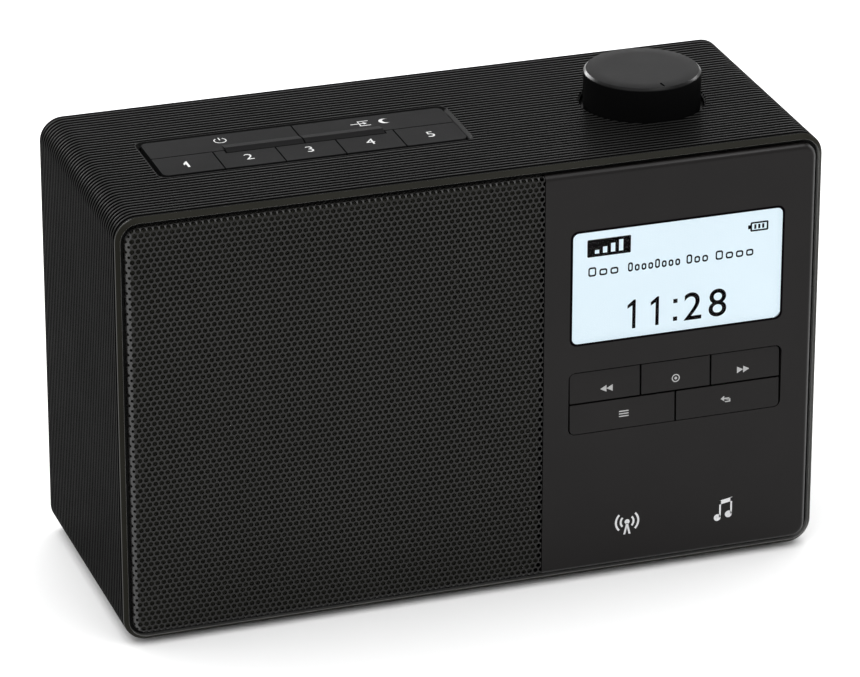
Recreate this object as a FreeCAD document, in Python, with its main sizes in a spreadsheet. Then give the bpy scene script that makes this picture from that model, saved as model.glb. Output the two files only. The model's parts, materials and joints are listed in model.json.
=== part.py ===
"""Tabletop radio with a ribbed cabinet, made as separate named pieces.

Frame: X to the right as seen from the front, Y to the back, Z up. The origin is the middle of the
footprint, at the height of the surface that the feet stand on. All sizes are in millimetres.
"""
import FreeCAD, Part
import math
import os

import Sketcher

DOC = FreeCAD.newDocument("tabletop_radio")

# Driving dimensions: one spreadsheet cell each.
DIMENSIONS = {
    # cabinet sleeve
    "cab_width": 242.0, "cab_height": 149.3, "cab_corner": 7.85, "cab_wall": 3.2, "foot_lift": 1.5,
    "rear_y": 44.44, "rib_front_y": -47.72, "rim_front_y": -49.34, "rim_wall": 1.6, "ledge_y": -43.2,
    "rib_pitch": 2.085, "rib_depth": 0.45, "groove_width": 1.05, "first_groove_y": 43.38,
    "groove_count": 44, "boss_x": 113.0, "boss_inset": 8.0, "boss_rad": 5.0, "pilot_rad": 1.5,
    "front_boss_back_y": -29.0, "rear_boss_front_y": 29.0,
    # front assembly
    "face_y": -50.84, "front_inset": 2.87, "front_corner": 5.0, "front_back_y": -46.8,
    "front_edge_rad": 1.9, "division_x": 23.0, "division_half_gap": 0.15, "sheet_thick": 0.8,
    "baffle_front_y": -46.7,
    # speaker
    "speaker_x": -47.6, "speaker_z": 76.15, "speaker_hole_rad": 34.5, "speaker_screw_rad": 38.6,
    "speaker_screw_hole": 1.2, "flange_rad": 41.0, "flange_front_y": -42.4, "flange_back_y": -40.9,
    "frame_rad": 24.5, "plate_front_y": -20.5, "magnet_front_y": -16.5, "magnet_back_y": -4.5,
    "yoke_back_y": -0.5, "magnet_rad": 30.0, "coil_in_rad": 10.0, "coil_out_rad": 10.5,
    "glue_gap": 0.06, "terminal_x": -16.0, "terminal_back_y": -22.4, "lead_rad": 0.7,
    # display
    "window_left": 32.4, "window_right": 106.9, "window_low": 86.8, "window_top": 127.1,
    "window_corner": 2.3, "window_gap": 0.12, "window_thick": 1.5, "window_seat_y": -49.24,
    "glass_margin": 1.4, "glass_front_y": -49.2, "glass_thick": 2.2, "backlight_thick": 2.6,
    "display_seat": 2.6, "display_board_margin": 3.5, "display_hole_margin": 4.2,
    "circuit_thick": 1.6,
    # keys on the front
    "keys_left": 32.2, "keys_right": 107.2, "keys_low": 54.6, "keys_middle": 65.3, "keys_top": 76.6,
    "keys_corner": 2.0, "key_gap": 0.65, "keys_recess": 0.8, "upper_split_1": 57.5,
    "upper_split_2": 82.4, "lower_split": 69.9, "front_key_thick": 3.0, "key_axle_rad": 0.6,
    "key_axle_y": -47.54, "key_axle_z": 55.35, "key_hole_margin": 3.0, "key_board_margin": 2.0,
    "front_board_y": -44.6, "switch_half": 3.0, "switch_height": 2.1, "switch_button_rad": 1.7,
    "switch_button_rise": 0.6,
    # keys on the top
    "opening_left": -97.4, "opening_right": 10.0, "opening_front": -18.64, "opening_back": 13.56,
    "opening_corner": 3.4, "opening_bevel": 1.2, "top_keys_left": -95.6, "top_keys_right": 8.2,
    "top_keys_front": -17.0, "top_keys_back": 11.9, "top_keys_row": -1.94, "top_key_gap": 0.5,
    "top_key_thick": 4.6, "preset_pitch": 20.65, "preset_first_split": -74.9, "back_split": -43.8,
    "ridge_left": -70.5, "ridge_right": -16.2, "ridge_front": -4.04, "ridge_crest": -1.3,
    "ridge_back": 2.6, "ridge_rise": 0.65, "top_keys_corner": 2.2, "stem_rad": 1.5,
    "stem_length": 3.6, "back_stem_y": 6.0, "back_stem_step": 14.0, "preset_stem_y": -10.5,
    "tray_floor_z": 143.4, "tray_floor": 1.2, "tray_gap": 0.6, "tray_wall": 3.0,
    "tray_leg_rad": 2.4, "top_board_z": 139.3,
    # knob and encoder
    "knob_x": 74.5, "knob_y": -2.64, "knob_rad": 19.7, "knob_top_z": 162.1, "knob_gap": 0.6,
    "knob_chamfer": 0.8, "well_rad": 20.9, "well_depth": 2.5, "well_floor": 2.5, "well_rim": 3.1,
    "shaft_rad": 3.0, "shaft_play": 0.05, "bush_rad": 3.5, "encoder_side": 12.0,
    "encoder_depth": 6.5, "bush_rise": 5.0, "nut_rad": 5.8, "nut_thick": 2.0, "knob_wall": 2.2,
    "knob_roof": 4.0, "hub_rad": 5.0, "hub_low": 5.5,
    # rear
    "cover_inset": 0.74, "cover_thick": 2.5, "cover_gap": 0.4, "bay_left": -103.0, "bay_right": 3.0,
    "bay_low": 16.0, "bay_top": 48.0, "bay_front_y": 24.0, "bay_wall": 1.6, "door_margin": 3.0,
    "door_thick": 1.8, "door_gap": 0.3, "door_corner": 1.2, "door_seat_corner": 0.8,
    "door_axle_rad": 0.9, "grip_half": 9.0, "grip_depth": 0.8, "cell_rad": 7.25,
    "cell_length": 50.5, "cell_tip": 1.2,
    "cell_pitch": 15.5, "contact_thick": 0.5, "power_x": 64.0, "earphone_x": 88.0,
    "socket_z": 21.0, "vent_left": 60.0, "vent_right": 96.0, "vent_low": 84.0, "vent_pitch": 4.0,
    "vent_height": 1.6,
    # aerial
    "aerial_x": 100.0, "aerial_y": 47.9, "aerial_z": 136.0, "tube_outer_rad": 2.5,
    "tube_middle_rad": 2.0, "tube_inner_rad": 1.5, "tube_play": 0.06,
    "tube_start": 6.0, "tube_end": 184.0, "tube_step": 2.0, "stem_hole_rad": 2.1, "pin_rad": 1.0,
    "ear_rad": 2.94, "ear_gap": 4.4, "tip_length": 7.0,
    # main board
    "board_left": 8.0, "board_right": 107.0, "board_front": -38.0, "board_back": 40.3,
    "board_z": 12.0, "post_inset": 4.0, "post_rad": 3.2, "board_screw_rad": 1.1,
    "tuner_left": 18.0, "tuner_right": 50.0, "tuner_front": -32.0, "tuner_back": -8.0,
    "tuner_height": 5.0, "tuner_sheet": 0.4, "sink_left": 68.0, "sink_right": 93.4,
    "sink_front": -14.0, "sink_back": 8.0, "sink_base": 2.0, "fin_first": 70.0, "fin_pitch": 4.0,
    "fin_thick": 1.4, "fin_height": 12.0, "can_rad": 4.0, "can_height": 14.0,
}
SHEET = DOC.addObject("Spreadsheet::Sheet", "dims")
for row, (alias, value) in enumerate(DIMENSIONS.items(), start=1):
    SHEET.set(f"A{row}", alias)
    SHEET.set(f"B{row}", str(value))
    SHEET.setAlias(f"B{row}", alias)
DOC.recompute()

SUBPARTS = []
TURN_Y = FreeCAD.Rotation(FreeCAD.Vector(1, 0, 0), -90)
TURN_X = FreeCAD.Rotation(FreeCAD.Vector(0, 1, 0), 90)

# Heights and half sizes that several pieces share, as expressions on the sheet.
CAB_LOW = "dims.foot_lift"
CAB_TOP = "(dims.foot_lift + dims.cab_height)"
MID_Z = "(dims.foot_lift + dims.cab_height / 2)"
CAVITY_TOP = f"({CAB_TOP} - dims.cab_wall)"
FRONT_HALF_X = "(dims.cab_width / 2 - dims.front_inset)"
FRONT_LOW = "(dims.foot_lift + dims.front_inset)"
FRONT_TOP = f"({CAB_TOP} - dims.front_inset)"
COVER_BACK_Y = "(dims.rear_y - dims.cover_inset)"
COVER_FRONT_Y = f"({COVER_BACK_Y} - dims.cover_thick)"
BOSS_Z = ("(dims.foot_lift + dims.boss_inset)", f"({CAB_TOP} - dims.boss_inset)")
BOSS_PLACES = [(f"({side} * dims.boss_x)", z) for side in (-1, 1) for z in BOSS_Z]
BOARD_TOP = "(dims.board_z + dims.circuit_thick)"
HEAD_RAD, HEAD_LENGTH, HEAD_HOLE_RAD, CASE_SCREW_LENGTH = 2.8, 1.6, 3.2, 12


def number(expression):
    """Value of an expression on the sheet's cells, or of a plain number."""
    return float(SHEET.evalExpression(str(expression)))


def keep(piece, label):
    """Names a finished piece and lists it for writing."""
    piece.Label = label
    SUBPARTS.append(piece)
    return piece


def bind_place(piece, x=0, y=0, z=0):
    """Ties a piece's position to the sheet."""
    for axis, expression in (("x", x), ("y", y), ("z", z)):
        piece.setExpression(f"Placement.Base.{axis}", str(expression))


# ---------------------------------------------------------------- Part workbench pieces
def box(x0, x1, y0, y1, z0, z1):
    """Block between two corners."""
    piece = DOC.addObject("Part::Box", "box")
    for size, low, high in (("Length", x0, x1), ("Width", y0, y1), ("Height", z0, z1)):
        piece.setExpression(size, f"({high}) - ({low})")
    bind_place(piece, x0, y0, z0)
    return piece


def cylinder(axis, x, y, z, radius, length):
    """Cylinder from a base centre along +X, +Y or +Z."""
    piece = DOC.addObject("Part::Cylinder", "cylinder")
    turn = {"X": TURN_X, "Y": TURN_Y, "Z": FreeCAD.Rotation()}[axis]
    piece.Placement = FreeCAD.Placement(FreeCAD.Vector(), turn)
    piece.setExpression("Radius", str(radius))
    piece.setExpression("Height", str(length))
    bind_place(piece, x, y, z)
    return piece


def fuse(*pieces):
    piece = DOC.addObject("Part::MultiFuse", "fuse")
    piece.Shapes = list(pieces)
    return piece


def cut(base, *tools):
    piece = DOC.addObject("Part::Cut", "cut")
    piece.Base = base
    piece.Tool = tools[0] if len(tools) == 1 else fuse(*tools)
    return piece


def group(pieces):
    """Separate solids that share one node."""
    piece = DOC.addObject("Part::Compound", "group")
    piece.Links = list(pieces)
    return piece


# ---------------------------------------------------------------- PartDesign pieces
def body(x=0, y=0, z=0):
    piece = DOC.addObject("PartDesign::Body", "body")
    bind_place(piece, x, y, z)
    return piece


def sketch(owner, role, offset=0):
    """Empty sketch on one of the body's origin planes, moved along the plane's normal."""
    plane = [item for item in owner.Origin.OriginFeatures if item.Role == role][0]
    item = owner.newObject("Sketcher::SketchObject", "sketch")
    item.AttachmentSupport = [(plane, "")]
    item.MapMode = "FlatFace"
    item.setExpression("AttachmentOffset.Base.z", str(offset))
    return item


def bind_point(item, line, x, y):
    """Holds a line's first point at x, y."""
    for kind, expression in (("DistanceX", x), ("DistanceY", y)):
        rule = Sketcher.Constraint(kind, -1, 1, line, 1, number(expression))
        item.setExpression(f"Constraints[{item.addConstraint(rule)}]", str(expression))


def draw_polygon(item, points):
    """Closed outline of straight lines through points given as expressions."""
    corners = [FreeCAD.Vector(number(x), number(y), 0) for x, y in points]
    first = item.GeometryCount
    count = len(points)
    for index in range(count):
        item.addGeometry(Part.LineSegment(corners[index], corners[(index + 1) % count]), False)
    for index in range(count):
        following = first + (index + 1) % count
        item.addConstraint(Sketcher.Constraint("Coincident", first + index, 2, following, 1))
    for index, (x, y) in enumerate(points):
        bind_point(item, first + index, x, y)


def draw_circle(item, x, y, radius):
    centre = FreeCAD.Vector(number(x), number(y), 0)
    circle = item.addGeometry(Part.Circle(centre, FreeCAD.Vector(0, 0, 1), number(radius)), False)
    for kind, expression in (("DistanceX", x), ("DistanceY", y)):
        rule = Sketcher.Constraint(kind, -1, 1, circle, 3, number(expression))
        item.setExpression(f"Constraints[{item.addConstraint(rule)}]", str(expression))
    rule = Sketcher.Constraint("Radius", circle, number(radius))
    item.setExpression(f"Constraints[{item.addConstraint(rule)}]", str(radius))


def draw_round_rect(item, left, right, low, top, radius):
    """Rectangle with four equal round corners."""
    x0, x1, y0, y1 = number(left), number(right), number(low), number(top)
    r = number(radius)
    first = item.GeometryCount
    sides = [((x0 + r, y0), (x1 - r, y0)), ((x1, y0 + r), (x1, y1 - r)),
             ((x1 - r, y1), (x0 + r, y1)), ((x0, y1 - r), (x0, y0 + r))]
    for start, end in sides:
        item.addGeometry(Part.LineSegment(FreeCAD.Vector(*start, 0), FreeCAD.Vector(*end, 0)), False)
    centres = [(x1 - r, y0 + r), (x1 - r, y1 - r), (x0 + r, y1 - r), (x0 + r, y0 + r)]
    for index, centre in enumerate(centres):
        circle = Part.Circle(FreeCAD.Vector(*centre, 0), FreeCAD.Vector(0, 0, 1), r)
        start = (index - 1) * math.pi / 2
        item.addGeometry(Part.ArcOfCircle(circle, start, start + math.pi / 2), False)
    for index in range(4):
        arc = first + 4 + index
        item.addConstraint(Sketcher.Constraint("Tangent", first + index, 2, arc, 1))
        item.addConstraint(Sketcher.Constraint("Tangent", arc, 2, first + (index + 1) % 4, 1))
    for index in (0, 2):
        item.addConstraint(Sketcher.Constraint("Horizontal", first + index))
        item.addConstraint(Sketcher.Constraint("Vertical", first + index + 1))
    for index in (5, 6, 7):
        item.addConstraint(Sketcher.Constraint("Equal", first + 4, first + index))
    rules = [("DistanceX", first + 3, left), ("DistanceX", first + 1, right),
             ("DistanceY", first, low), ("DistanceY", first + 2, top)]
    for kind, line, expression in rules:
        rule = Sketcher.Constraint(kind, -1, 1, line, 1, number(expression))
        item.setExpression(f"Constraints[{item.addConstraint(rule)}]", str(expression))
    rule = Sketcher.Constraint("Radius", first + 4, r)
    item.setExpression(f"Constraints[{item.addConstraint(rule)}]", str(radius))


def add_feature(owner, kind, profile, length, reverse=False):
    feature = owner.newObject(kind, "feature")
    feature.Profile = profile
    feature.setExpression("Length", str(length))
    feature.Reversed = reverse
    return feature


def pad(owner, profile, length, reverse=False):
    return add_feature(owner, "PartDesign::Pad", profile, length, reverse)


def pocket(owner, profile, length, reverse=False):
    """Pocket that must remove material; by default it goes against the sketch's normal."""
    DOC.recompute()
    before = owner.Shape.Volume
    feature = add_feature(owner, "PartDesign::Pocket", profile, length, reverse)
    DOC.recompute()
    if not 0 < owner.Shape.Volume < before:
        raise RuntimeError(f"a pocket of {owner.Label} cuts nothing")
    return feature


def turned(profile_points, role, x=0, y=0, z=0):
    """Solid of revolution about the body's own sketch axis, from points (radius, height)."""
    owner = body(x, y, z)
    profile = sketch(owner, role)
    draw_polygon(profile, profile_points)
    feature = owner.newObject("PartDesign::Revolution", "turning")
    feature.Profile = profile
    feature.ReferenceAxis = (profile, ["V_Axis"])
    feature.Angle = 360
    return owner


def round_plate(left, right, low, top, radius, y0, y1):
    """Round-cornered plate in the XZ plane, from y0 back to y1."""
    owner = body()
    profile = sketch(owner, "XZ_Plane", f"-({y0})")
    draw_round_rect(profile, left, right, low, top, radius)
    pad(owner, profile, f"({y1}) - ({y0})", reverse=True)
    return owner


def chosen_edges(shape, test):
    """Names of the edges whose middle point passes the test."""
    names = []
    for index, edge in enumerate(shape.Edges, start=1):
        middle = edge.valueAt((edge.FirstParameter + edge.LastParameter) / 2)
        if test(middle):
            names.append(f"Edge{index}")
    return names


def blend_edges(owner, kind, size, test):
    """Fillet or chamfer on the body's last feature, on the edges that pass the test."""
    DOC.recompute()
    base = owner.Tip
    names = chosen_edges(base.Shape, test)
    feature = owner.newObject(kind, "edge_blend")
    feature.Base = (base, names)
    feature.setExpression("Radius" if kind.endswith("Fillet") else "Size", str(size))
    return feature


def near(value, expression):
    return abs(value - number(expression)) < 0.01


def round_corners(owner, radius, corners, plane):
    """Rounds the edges that stand on the given corners of a plan in the plane XY or XZ."""
    second = {"XY": "y", "XZ": "z"}[plane]

    def on_corner(point):
        return any(near(point.x, x) and near(getattr(point, second), other)
                   for x, other in corners)

    if corners:
        blend_edges(owner, "PartDesign::Fillet", radius, on_corner)


# ---------------------------------------------------------------- cabinet
def add_wall_window(owner, y0, y1, inset):
    """Cuts the sleeve's inside between two depths, leaving a wall as thick as the inset."""
    profile = sketch(owner, "XZ_Plane", f"-({y0})")
    draw_round_rect(profile, f"-(dims.cab_width / 2 - {inset})", f"dims.cab_width / 2 - {inset}",
                    f"{CAB_LOW} + {inset}", f"{CAB_TOP} - {inset}", f"dims.cab_corner - {inset}")
    pocket(owner, profile, f"({y1}) - ({y0})")


def add_boss_row(owner, y0, y1):
    """Four screw bosses in the corners, with pilot holes along their whole length."""
    for x, z in BOSS_PLACES:
        profile = sketch(owner, "XZ_Plane", f"-({y0})")
        draw_circle(profile, x, z, "dims.boss_rad")
        draw_circle(profile, x, z, "dims.pilot_rad")
        pad(owner, profile, f"({y1}) - ({y0})", reverse=True)


def add_knob_well(owner):
    """Round well in the top that the knob sits in, with a thicker floor and the bush hole."""
    boss = sketch(owner, "XY_Plane", f"{CAB_TOP} - dims.well_depth - dims.well_floor")
    draw_circle(boss, "dims.knob_x", "dims.knob_y", "dims.well_rad + dims.well_rim")
    pad(owner, boss, f"dims.well_depth + dims.well_floor - dims.cab_wall + 0.1")
    well = sketch(owner, "XY_Plane", CAB_TOP)
    draw_circle(well, "dims.knob_x", "dims.knob_y", "dims.well_rad")
    pocket(owner, well, "dims.well_depth")
    hole = sketch(owner, "XY_Plane", CAB_TOP)
    draw_circle(hole, "dims.knob_x", "dims.knob_y", "dims.bush_rad + 0.1")
    pocket(owner, hole, "dims.well_depth + dims.well_floor + 1")


def add_key_opening(owner):
    """Opening for the top keys, with a bevel round its upper edge."""
    opening = sketch(owner, "XY_Plane", CAB_TOP)
    bevel = "dims.opening_bevel"
    draw_round_rect(opening, f"dims.opening_left + {bevel}", f"dims.opening_right - {bevel}",
                    f"dims.opening_front + {bevel}", f"dims.opening_back - {bevel}",
                    f"dims.opening_corner - {bevel}")
    pocket(owner, opening, "dims.cab_wall + 1")

    def on_opening_edge(point):
        inside_x = number("dims.opening_left") < point.x < number("dims.opening_right")
        inside_y = number("dims.opening_front") < point.y < number("dims.opening_back")
        return near(point.z, CAB_TOP) and inside_x and inside_y

    blend_edges(owner, "PartDesign::Chamfer", bevel, on_opening_edge)


def add_ribs(owner):
    """Grooves all round the sleeve, one after another along its depth."""
    ring = sketch(owner, "XZ_Plane", "-(dims.first_groove_y + dims.groove_width / 2)")
    reach = 5
    draw_round_rect(ring, f"-(dims.cab_width / 2 + {reach})", f"dims.cab_width / 2 + {reach}",
                    f"{CAB_LOW} - {reach}", f"{CAB_TOP} + {reach}", "dims.cab_corner")
    depth = "dims.rib_depth"
    draw_round_rect(ring, f"-(dims.cab_width / 2 - {depth})", f"dims.cab_width / 2 - {depth}",
                    f"{CAB_LOW} + {depth}", f"{CAB_TOP} - {depth}", f"dims.cab_corner - {depth}")
    groove = pocket(owner, ring, "dims.groove_width", reverse=True)
    pattern = owner.newObject("PartDesign::LinearPattern", "ribs")
    pattern.Originals = [groove]
    pattern.Direction = (ring, ["N_Axis"])
    pattern.setExpression("Length", "(dims.groove_count - 1) * dims.rib_pitch")
    pattern.setExpression("Occurrences", "dims.groove_count")
    owner.Tip = pattern


def make_cabinet_shell():
    owner = round_plate("-(dims.cab_width / 2)", "dims.cab_width / 2", CAB_LOW, CAB_TOP,
                        "dims.cab_corner", "dims.rim_front_y", "dims.rear_y")
    blend_edges(owner, "PartDesign::Chamfer", "dims.rib_front_y - dims.rim_front_y - 0.02",
                lambda point: near(point.y, "dims.rim_front_y"))
    add_wall_window(owner, "dims.rim_front_y", "dims.ledge_y", "dims.rim_wall")
    add_wall_window(owner, "dims.ledge_y", "dims.rear_y", "dims.cab_wall")
    add_boss_row(owner, "dims.ledge_y", "dims.front_boss_back_y")
    add_boss_row(owner, "dims.rear_boss_front_y", COVER_FRONT_Y)
    add_board_posts(owner)
    add_knob_well(owner)
    add_key_opening(owner)
    add_ribs(owner)
    keep(owner, "cabinet_shell")


def board_corners():
    inset = "dims.post_inset"
    return [(f"({x})", f"({y})") for x in (f"dims.board_left + {inset}", f"dims.board_right - {inset}")
            for y in (f"dims.board_front + {inset}", f"dims.rear_boss_front_y - {inset}")]


def add_board_posts(owner):
    """Posts on the floor that the main board is screwed to."""
    for x, y in board_corners():
        profile = sketch(owner, "XY_Plane", f"{CAB_LOW} + dims.cab_wall - 0.2")
        draw_circle(profile, x, y, "dims.post_rad")
        draw_circle(profile, x, y, "dims.board_screw_rad")
        pad(owner, profile, f"dims.board_z - {CAB_LOW} - dims.cab_wall + 0.2")


def make_feet():
    places = [(x, y) for x in (-100, 100) for y in (-38, 36)]
    feet = [cylinder("Z", x, y, 0, 7, "dims.foot_lift") for x, y in places]
    keep(group(feet), "rubber_feet")


# ---------------------------------------------------------------- front assembly
def front_block(y0, y1):
    return round_plate(f"-{FRONT_HALF_X}", FRONT_HALF_X, FRONT_LOW, FRONT_TOP, "dims.front_corner",
                       y0, y1)


def trim_at_division(owner, keep_left):
    """Cuts the front block at the line between the grille and the panel, on its outer face side."""
    profile = sketch(owner, "XZ_Plane", "-dims.front_back_y")
    beyond = 5
    edge = f"dims.division_x {'-' if keep_left else '+'} dims.division_half_gap"
    far = f"{'' if keep_left else '-'}({FRONT_HALF_X} + {beyond})"
    low, top = f"{FRONT_LOW} - {beyond}", f"{FRONT_TOP} + {beyond}"
    draw_polygon(profile, [(edge, low), (far, low), (far, top), (edge, top)])
    pocket(owner, profile, "dims.front_back_y - dims.face_y + 1", reverse=True)


def make_speaker_grille():
    """Sheet with rolled outer edges; its holes are left out of this solid."""
    owner = front_block("dims.face_y", "dims.front_back_y")
    blend_edges(owner, "PartDesign::Fillet", "dims.front_edge_rad",
                lambda point: near(point.y, "dims.face_y"))
    trim_at_division(owner, keep_left=True)
    inner = sketch(owner, "XZ_Plane", "-dims.front_back_y")
    wall = "dims.sheet_thick"
    draw_round_rect(inner, f"-{FRONT_HALF_X} + {wall}", f"dims.division_x - {wall}",
                    f"{FRONT_LOW} + {wall}", f"{FRONT_TOP} - {wall}", "dims.front_corner - 1")
    pocket(owner, inner, f"dims.front_back_y - dims.face_y - {wall}", reverse=True)
    keep(owner, "speaker_grille")


def key_window(grow):
    """Edges of the front key field, grown outwards."""
    return (f"dims.keys_left - {grow}", f"dims.keys_right + {grow}",
            f"dims.keys_low - {grow}", f"dims.keys_top + {grow}")


def display_area(grow):
    """Edges of the display window, grown outwards."""
    return (f"dims.window_left - {grow}", f"dims.window_right + {grow}",
            f"dims.window_low - {grow}", f"dims.window_top + {grow}")


def make_control_panel():
    owner = front_block("dims.face_y", "dims.front_back_y")
    blend_edges(owner, "PartDesign::Fillet", "dims.front_edge_rad",
                lambda point: near(point.y, "dims.face_y"))
    trim_at_division(owner, keep_left=False)
    window = sketch(owner, "XZ_Plane", "-dims.front_back_y")
    draw_round_rect(window, *display_area(0), "dims.window_corner")
    pocket(owner, window, "dims.front_back_y - dims.face_y + 1", reverse=True)
    keys = sketch(owner, "XZ_Plane", "-dims.front_back_y")
    draw_round_rect(keys, *key_window("dims.key_gap / 2"), "dims.keys_corner + dims.key_gap / 2")
    pocket(owner, keys, "dims.front_back_y - dims.face_y + 1", reverse=True)
    seat = sketch(owner, "XZ_Plane", "-dims.front_back_y")
    draw_round_rect(seat, *display_area("dims.display_seat"), 2)
    pocket(owner, seat, "dims.front_back_y - dims.window_seat_y", reverse=True)
    keep(owner, "control_panel")


def make_front_baffle():
    """Plate on the sleeve's inner ledge that carries the speaker, the display and the keys."""
    owner = front_block("dims.baffle_front_y", "dims.ledge_y")
    thick = "dims.ledge_y - dims.baffle_front_y"
    holes = sketch(owner, "XZ_Plane", "-dims.ledge_y")
    draw_circle(holes, "dims.speaker_x", "dims.speaker_z", "dims.speaker_hole_rad")
    draw_round_rect(holes, *display_area("dims.display_hole_margin"), 2)
    draw_round_rect(holes, *key_window("dims.key_hole_margin"), 2)
    for x, z in BOSS_PLACES:
        draw_circle(holes, x, z, "dims.pilot_rad")
    for x, z in speaker_screw_places():
        draw_circle(holes, x, z, "dims.speaker_screw_hole")
    pocket(owner, holes, f"{thick} + 1", reverse=True)
    heads = sketch(owner, "XZ_Plane", "-dims.baffle_front_y")
    for x, z in BOSS_PLACES:
        draw_circle(heads, x, z, HEAD_HOLE_RAD)
    pocket(owner, heads, HEAD_LENGTH + 0.4)
    keep(owner, "front_baffle")


def screw_along_y(x, z, head_y, tip_y, head_rad, shank_rad):
    """Screw whose head starts at head_y and whose tip is at tip_y, either way along Y."""
    length = HEAD_LENGTH
    if number(tip_y) > number(head_y):
        head = cylinder("Y", x, head_y, z, head_rad, length)
        shank = cylinder("Y", x, f"{head_y} + {length}", z, shank_rad,
                         f"({tip_y}) - ({head_y}) - {length}")
    else:
        head = cylinder("Y", x, f"({head_y}) - {length}", z, head_rad, length)
        shank = cylinder("Y", x, tip_y, z, shank_rad, f"({head_y}) - ({tip_y}) - {length}")
    slot = box(f"{x} - {head_rad} * 0.6", f"{x} + {head_rad} * 0.6",
               f"({head_y}) - 0.5", f"({head_y}) + 0.5", f"{z} - 0.35", f"{z} + 0.35")
    return cut(fuse(head, shank), slot)


def make_case_screws():
    """Equal screws: four through the baffle and four through the rear cover, into the bosses."""
    front, back = "(dims.baffle_front_y + 0.2)", f"({COVER_BACK_Y} - 0.1)"
    spans = ((front, f"{front} + {CASE_SCREW_LENGTH}"), (back, f"{back} - {CASE_SCREW_LENGTH}"))
    screws = []
    for x, z in BOSS_PLACES:
        for head, tip in spans:
            screws.append(screw_along_y(x, z, head, tip, HEAD_RAD, "dims.pilot_rad"))
    keep(group(screws), "case_screws")


# ---------------------------------------------------------------- display
def make_display():
    gap = "dims.window_gap"
    window = round_plate(f"dims.window_left + {gap}", f"dims.window_right - {gap}",
                         f"dims.window_low + {gap}", f"dims.window_top - {gap}",
                         f"dims.window_corner - {gap}", "dims.face_y",
                         "dims.face_y + dims.window_thick")
    keep(window, "display_window")
    glass_back = "(dims.glass_front_y + dims.glass_thick)"
    light_back = f"({glass_back} + dims.backlight_thick)"
    left, right, low, top = display_area("dims.glass_margin")
    keep(box(left, right, "dims.glass_front_y", glass_back, low, top), "display_glass")
    keep(box(left, right, glass_back, light_back, low, top), "display_backlight")
    left, right, low, top = display_area("dims.display_board_margin")
    keep(box(left, right, light_back, f"{light_back} + dims.circuit_thick", low, top),
         "display_board")


# ---------------------------------------------------------------- keys on the front
def slanted_key(label, left, right, low, top, corners=(), axle=False):
    """Key whose face leans back from flush at the field's low edge to the recess at its top."""
    slope = "(dims.keys_recess / (dims.keys_top - dims.keys_low))"
    owner = body()
    profile = sketch(owner, "YZ_Plane", left)
    back = "dims.face_y + dims.front_key_thick"
    draw_polygon(profile, [
        (f"dims.face_y + {slope} * ({low} - dims.keys_low)", low), (back, low), (back, top),
        (f"dims.face_y + {slope} * ({top} - dims.keys_low)", top)])
    pad(owner, profile, f"({right}) - ({left})")
    round_corners(owner, "dims.keys_corner - dims.key_gap / 2", corners, "XZ")
    if axle:
        inset = 3
        rod = sketch(owner, "YZ_Plane", f"{left} + {inset}")
        draw_circle(rod, "dims.key_axle_y", "dims.key_axle_z", "dims.key_axle_rad")
        pad(owner, rod, f"({right}) - ({left}) - 2 * {inset}")
    keep(owner, label)


def make_front_keys():
    """Three keys that press straight in over two keys that tip about an axle at their low edge."""
    half = "dims.key_gap / 2"
    left, right = f"(dims.keys_left + {half})", f"(dims.keys_right - {half})"
    top, low = f"(dims.keys_top - {half})", "(dims.keys_low - 0.05)"
    upper_low, lower_top = f"(dims.keys_middle + {half})", f"(dims.keys_middle - {half})"
    slanted_key("rewind_key", left, f"(dims.upper_split_1 - {half})", upper_low, top, [(left, top)])
    slanted_key("enter_key", f"(dims.upper_split_1 + {half})", f"(dims.upper_split_2 - {half})",
                upper_low, top)
    slanted_key("forward_key", f"(dims.upper_split_2 + {half})", right, upper_low, top,
                [(right, top)])
    slanted_key("menu_key", left, f"(dims.lower_split - {half})", low, lower_top, [(left, low)],
                axle=True)
    slanted_key("back_key", f"(dims.lower_split + {half})", right, low, lower_top,
                [(right, low)], axle=True)


def make_front_key_board():
    left, right, low, top = key_window("dims.key_board_margin")
    keep(box(left, right, "dims.front_board_y", "dims.front_board_y + dims.circuit_thick", low, top),
         "front_key_board")
    side = "dims.switch_half"
    case_front = "(dims.front_board_y - dims.switch_height)"
    switches = []
    for x, z in ((45, 71), (70, 71), (95, 71), (51, 61), (88.5, 61)):
        case = box(f"{x} - {side}", f"{x} + {side}", case_front, "dims.front_board_y",
                   f"{z} - {side}", f"{z} + {side}")
        button = cylinder("Y", x, f"{case_front} - dims.switch_button_rise", z,
                          "dims.switch_button_rad", "dims.switch_button_rise")
        switches.append(fuse(case, button))
    keep(group(switches), "front_key_switches")


# ---------------------------------------------------------------- keys on the top
TOP_HALF_GAP = "(dims.top_key_gap / 2)"
ROW_BACK = f"(dims.top_keys_row + {TOP_HALF_GAP})"
ROW_FRONT = f"(dims.top_keys_row - {TOP_HALF_GAP})"


def preset_spans():
    """Left and right edges of the five preset keys."""
    splits = [f"(dims.preset_first_split + {index} * dims.preset_pitch)" for index in range(4)]
    lefts = ["dims.top_keys_left"] + [f"({split} + {TOP_HALF_GAP})" for split in splits]
    rights = [f"({split} - {TOP_HALF_GAP})" for split in splits] + ["dims.top_keys_right"]
    return list(zip(lefts, rights))


def back_key_stems(outer, split):
    """Three stem places in a row under a back key; the middle one presses the switch."""
    middle = f"({outer} + {split}) / 2"
    return [(f"{middle} + {step} * dims.back_stem_step", "dims.back_stem_y") for step in (0, -1, 1)]


def preset_stem(left, right):
    return (f"({left} + {right}) / 2", "dims.preset_stem_y")


POWER_STEMS = back_key_stems("dims.top_keys_left", f"(dims.back_split - {TOP_HALF_GAP})")
SOURCE_STEMS = back_key_stems("dims.top_keys_right", f"(dims.back_split + {TOP_HALF_GAP})")
PRESET_STEMS = [preset_stem(left, right) for left, right in preset_spans()]


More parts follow.
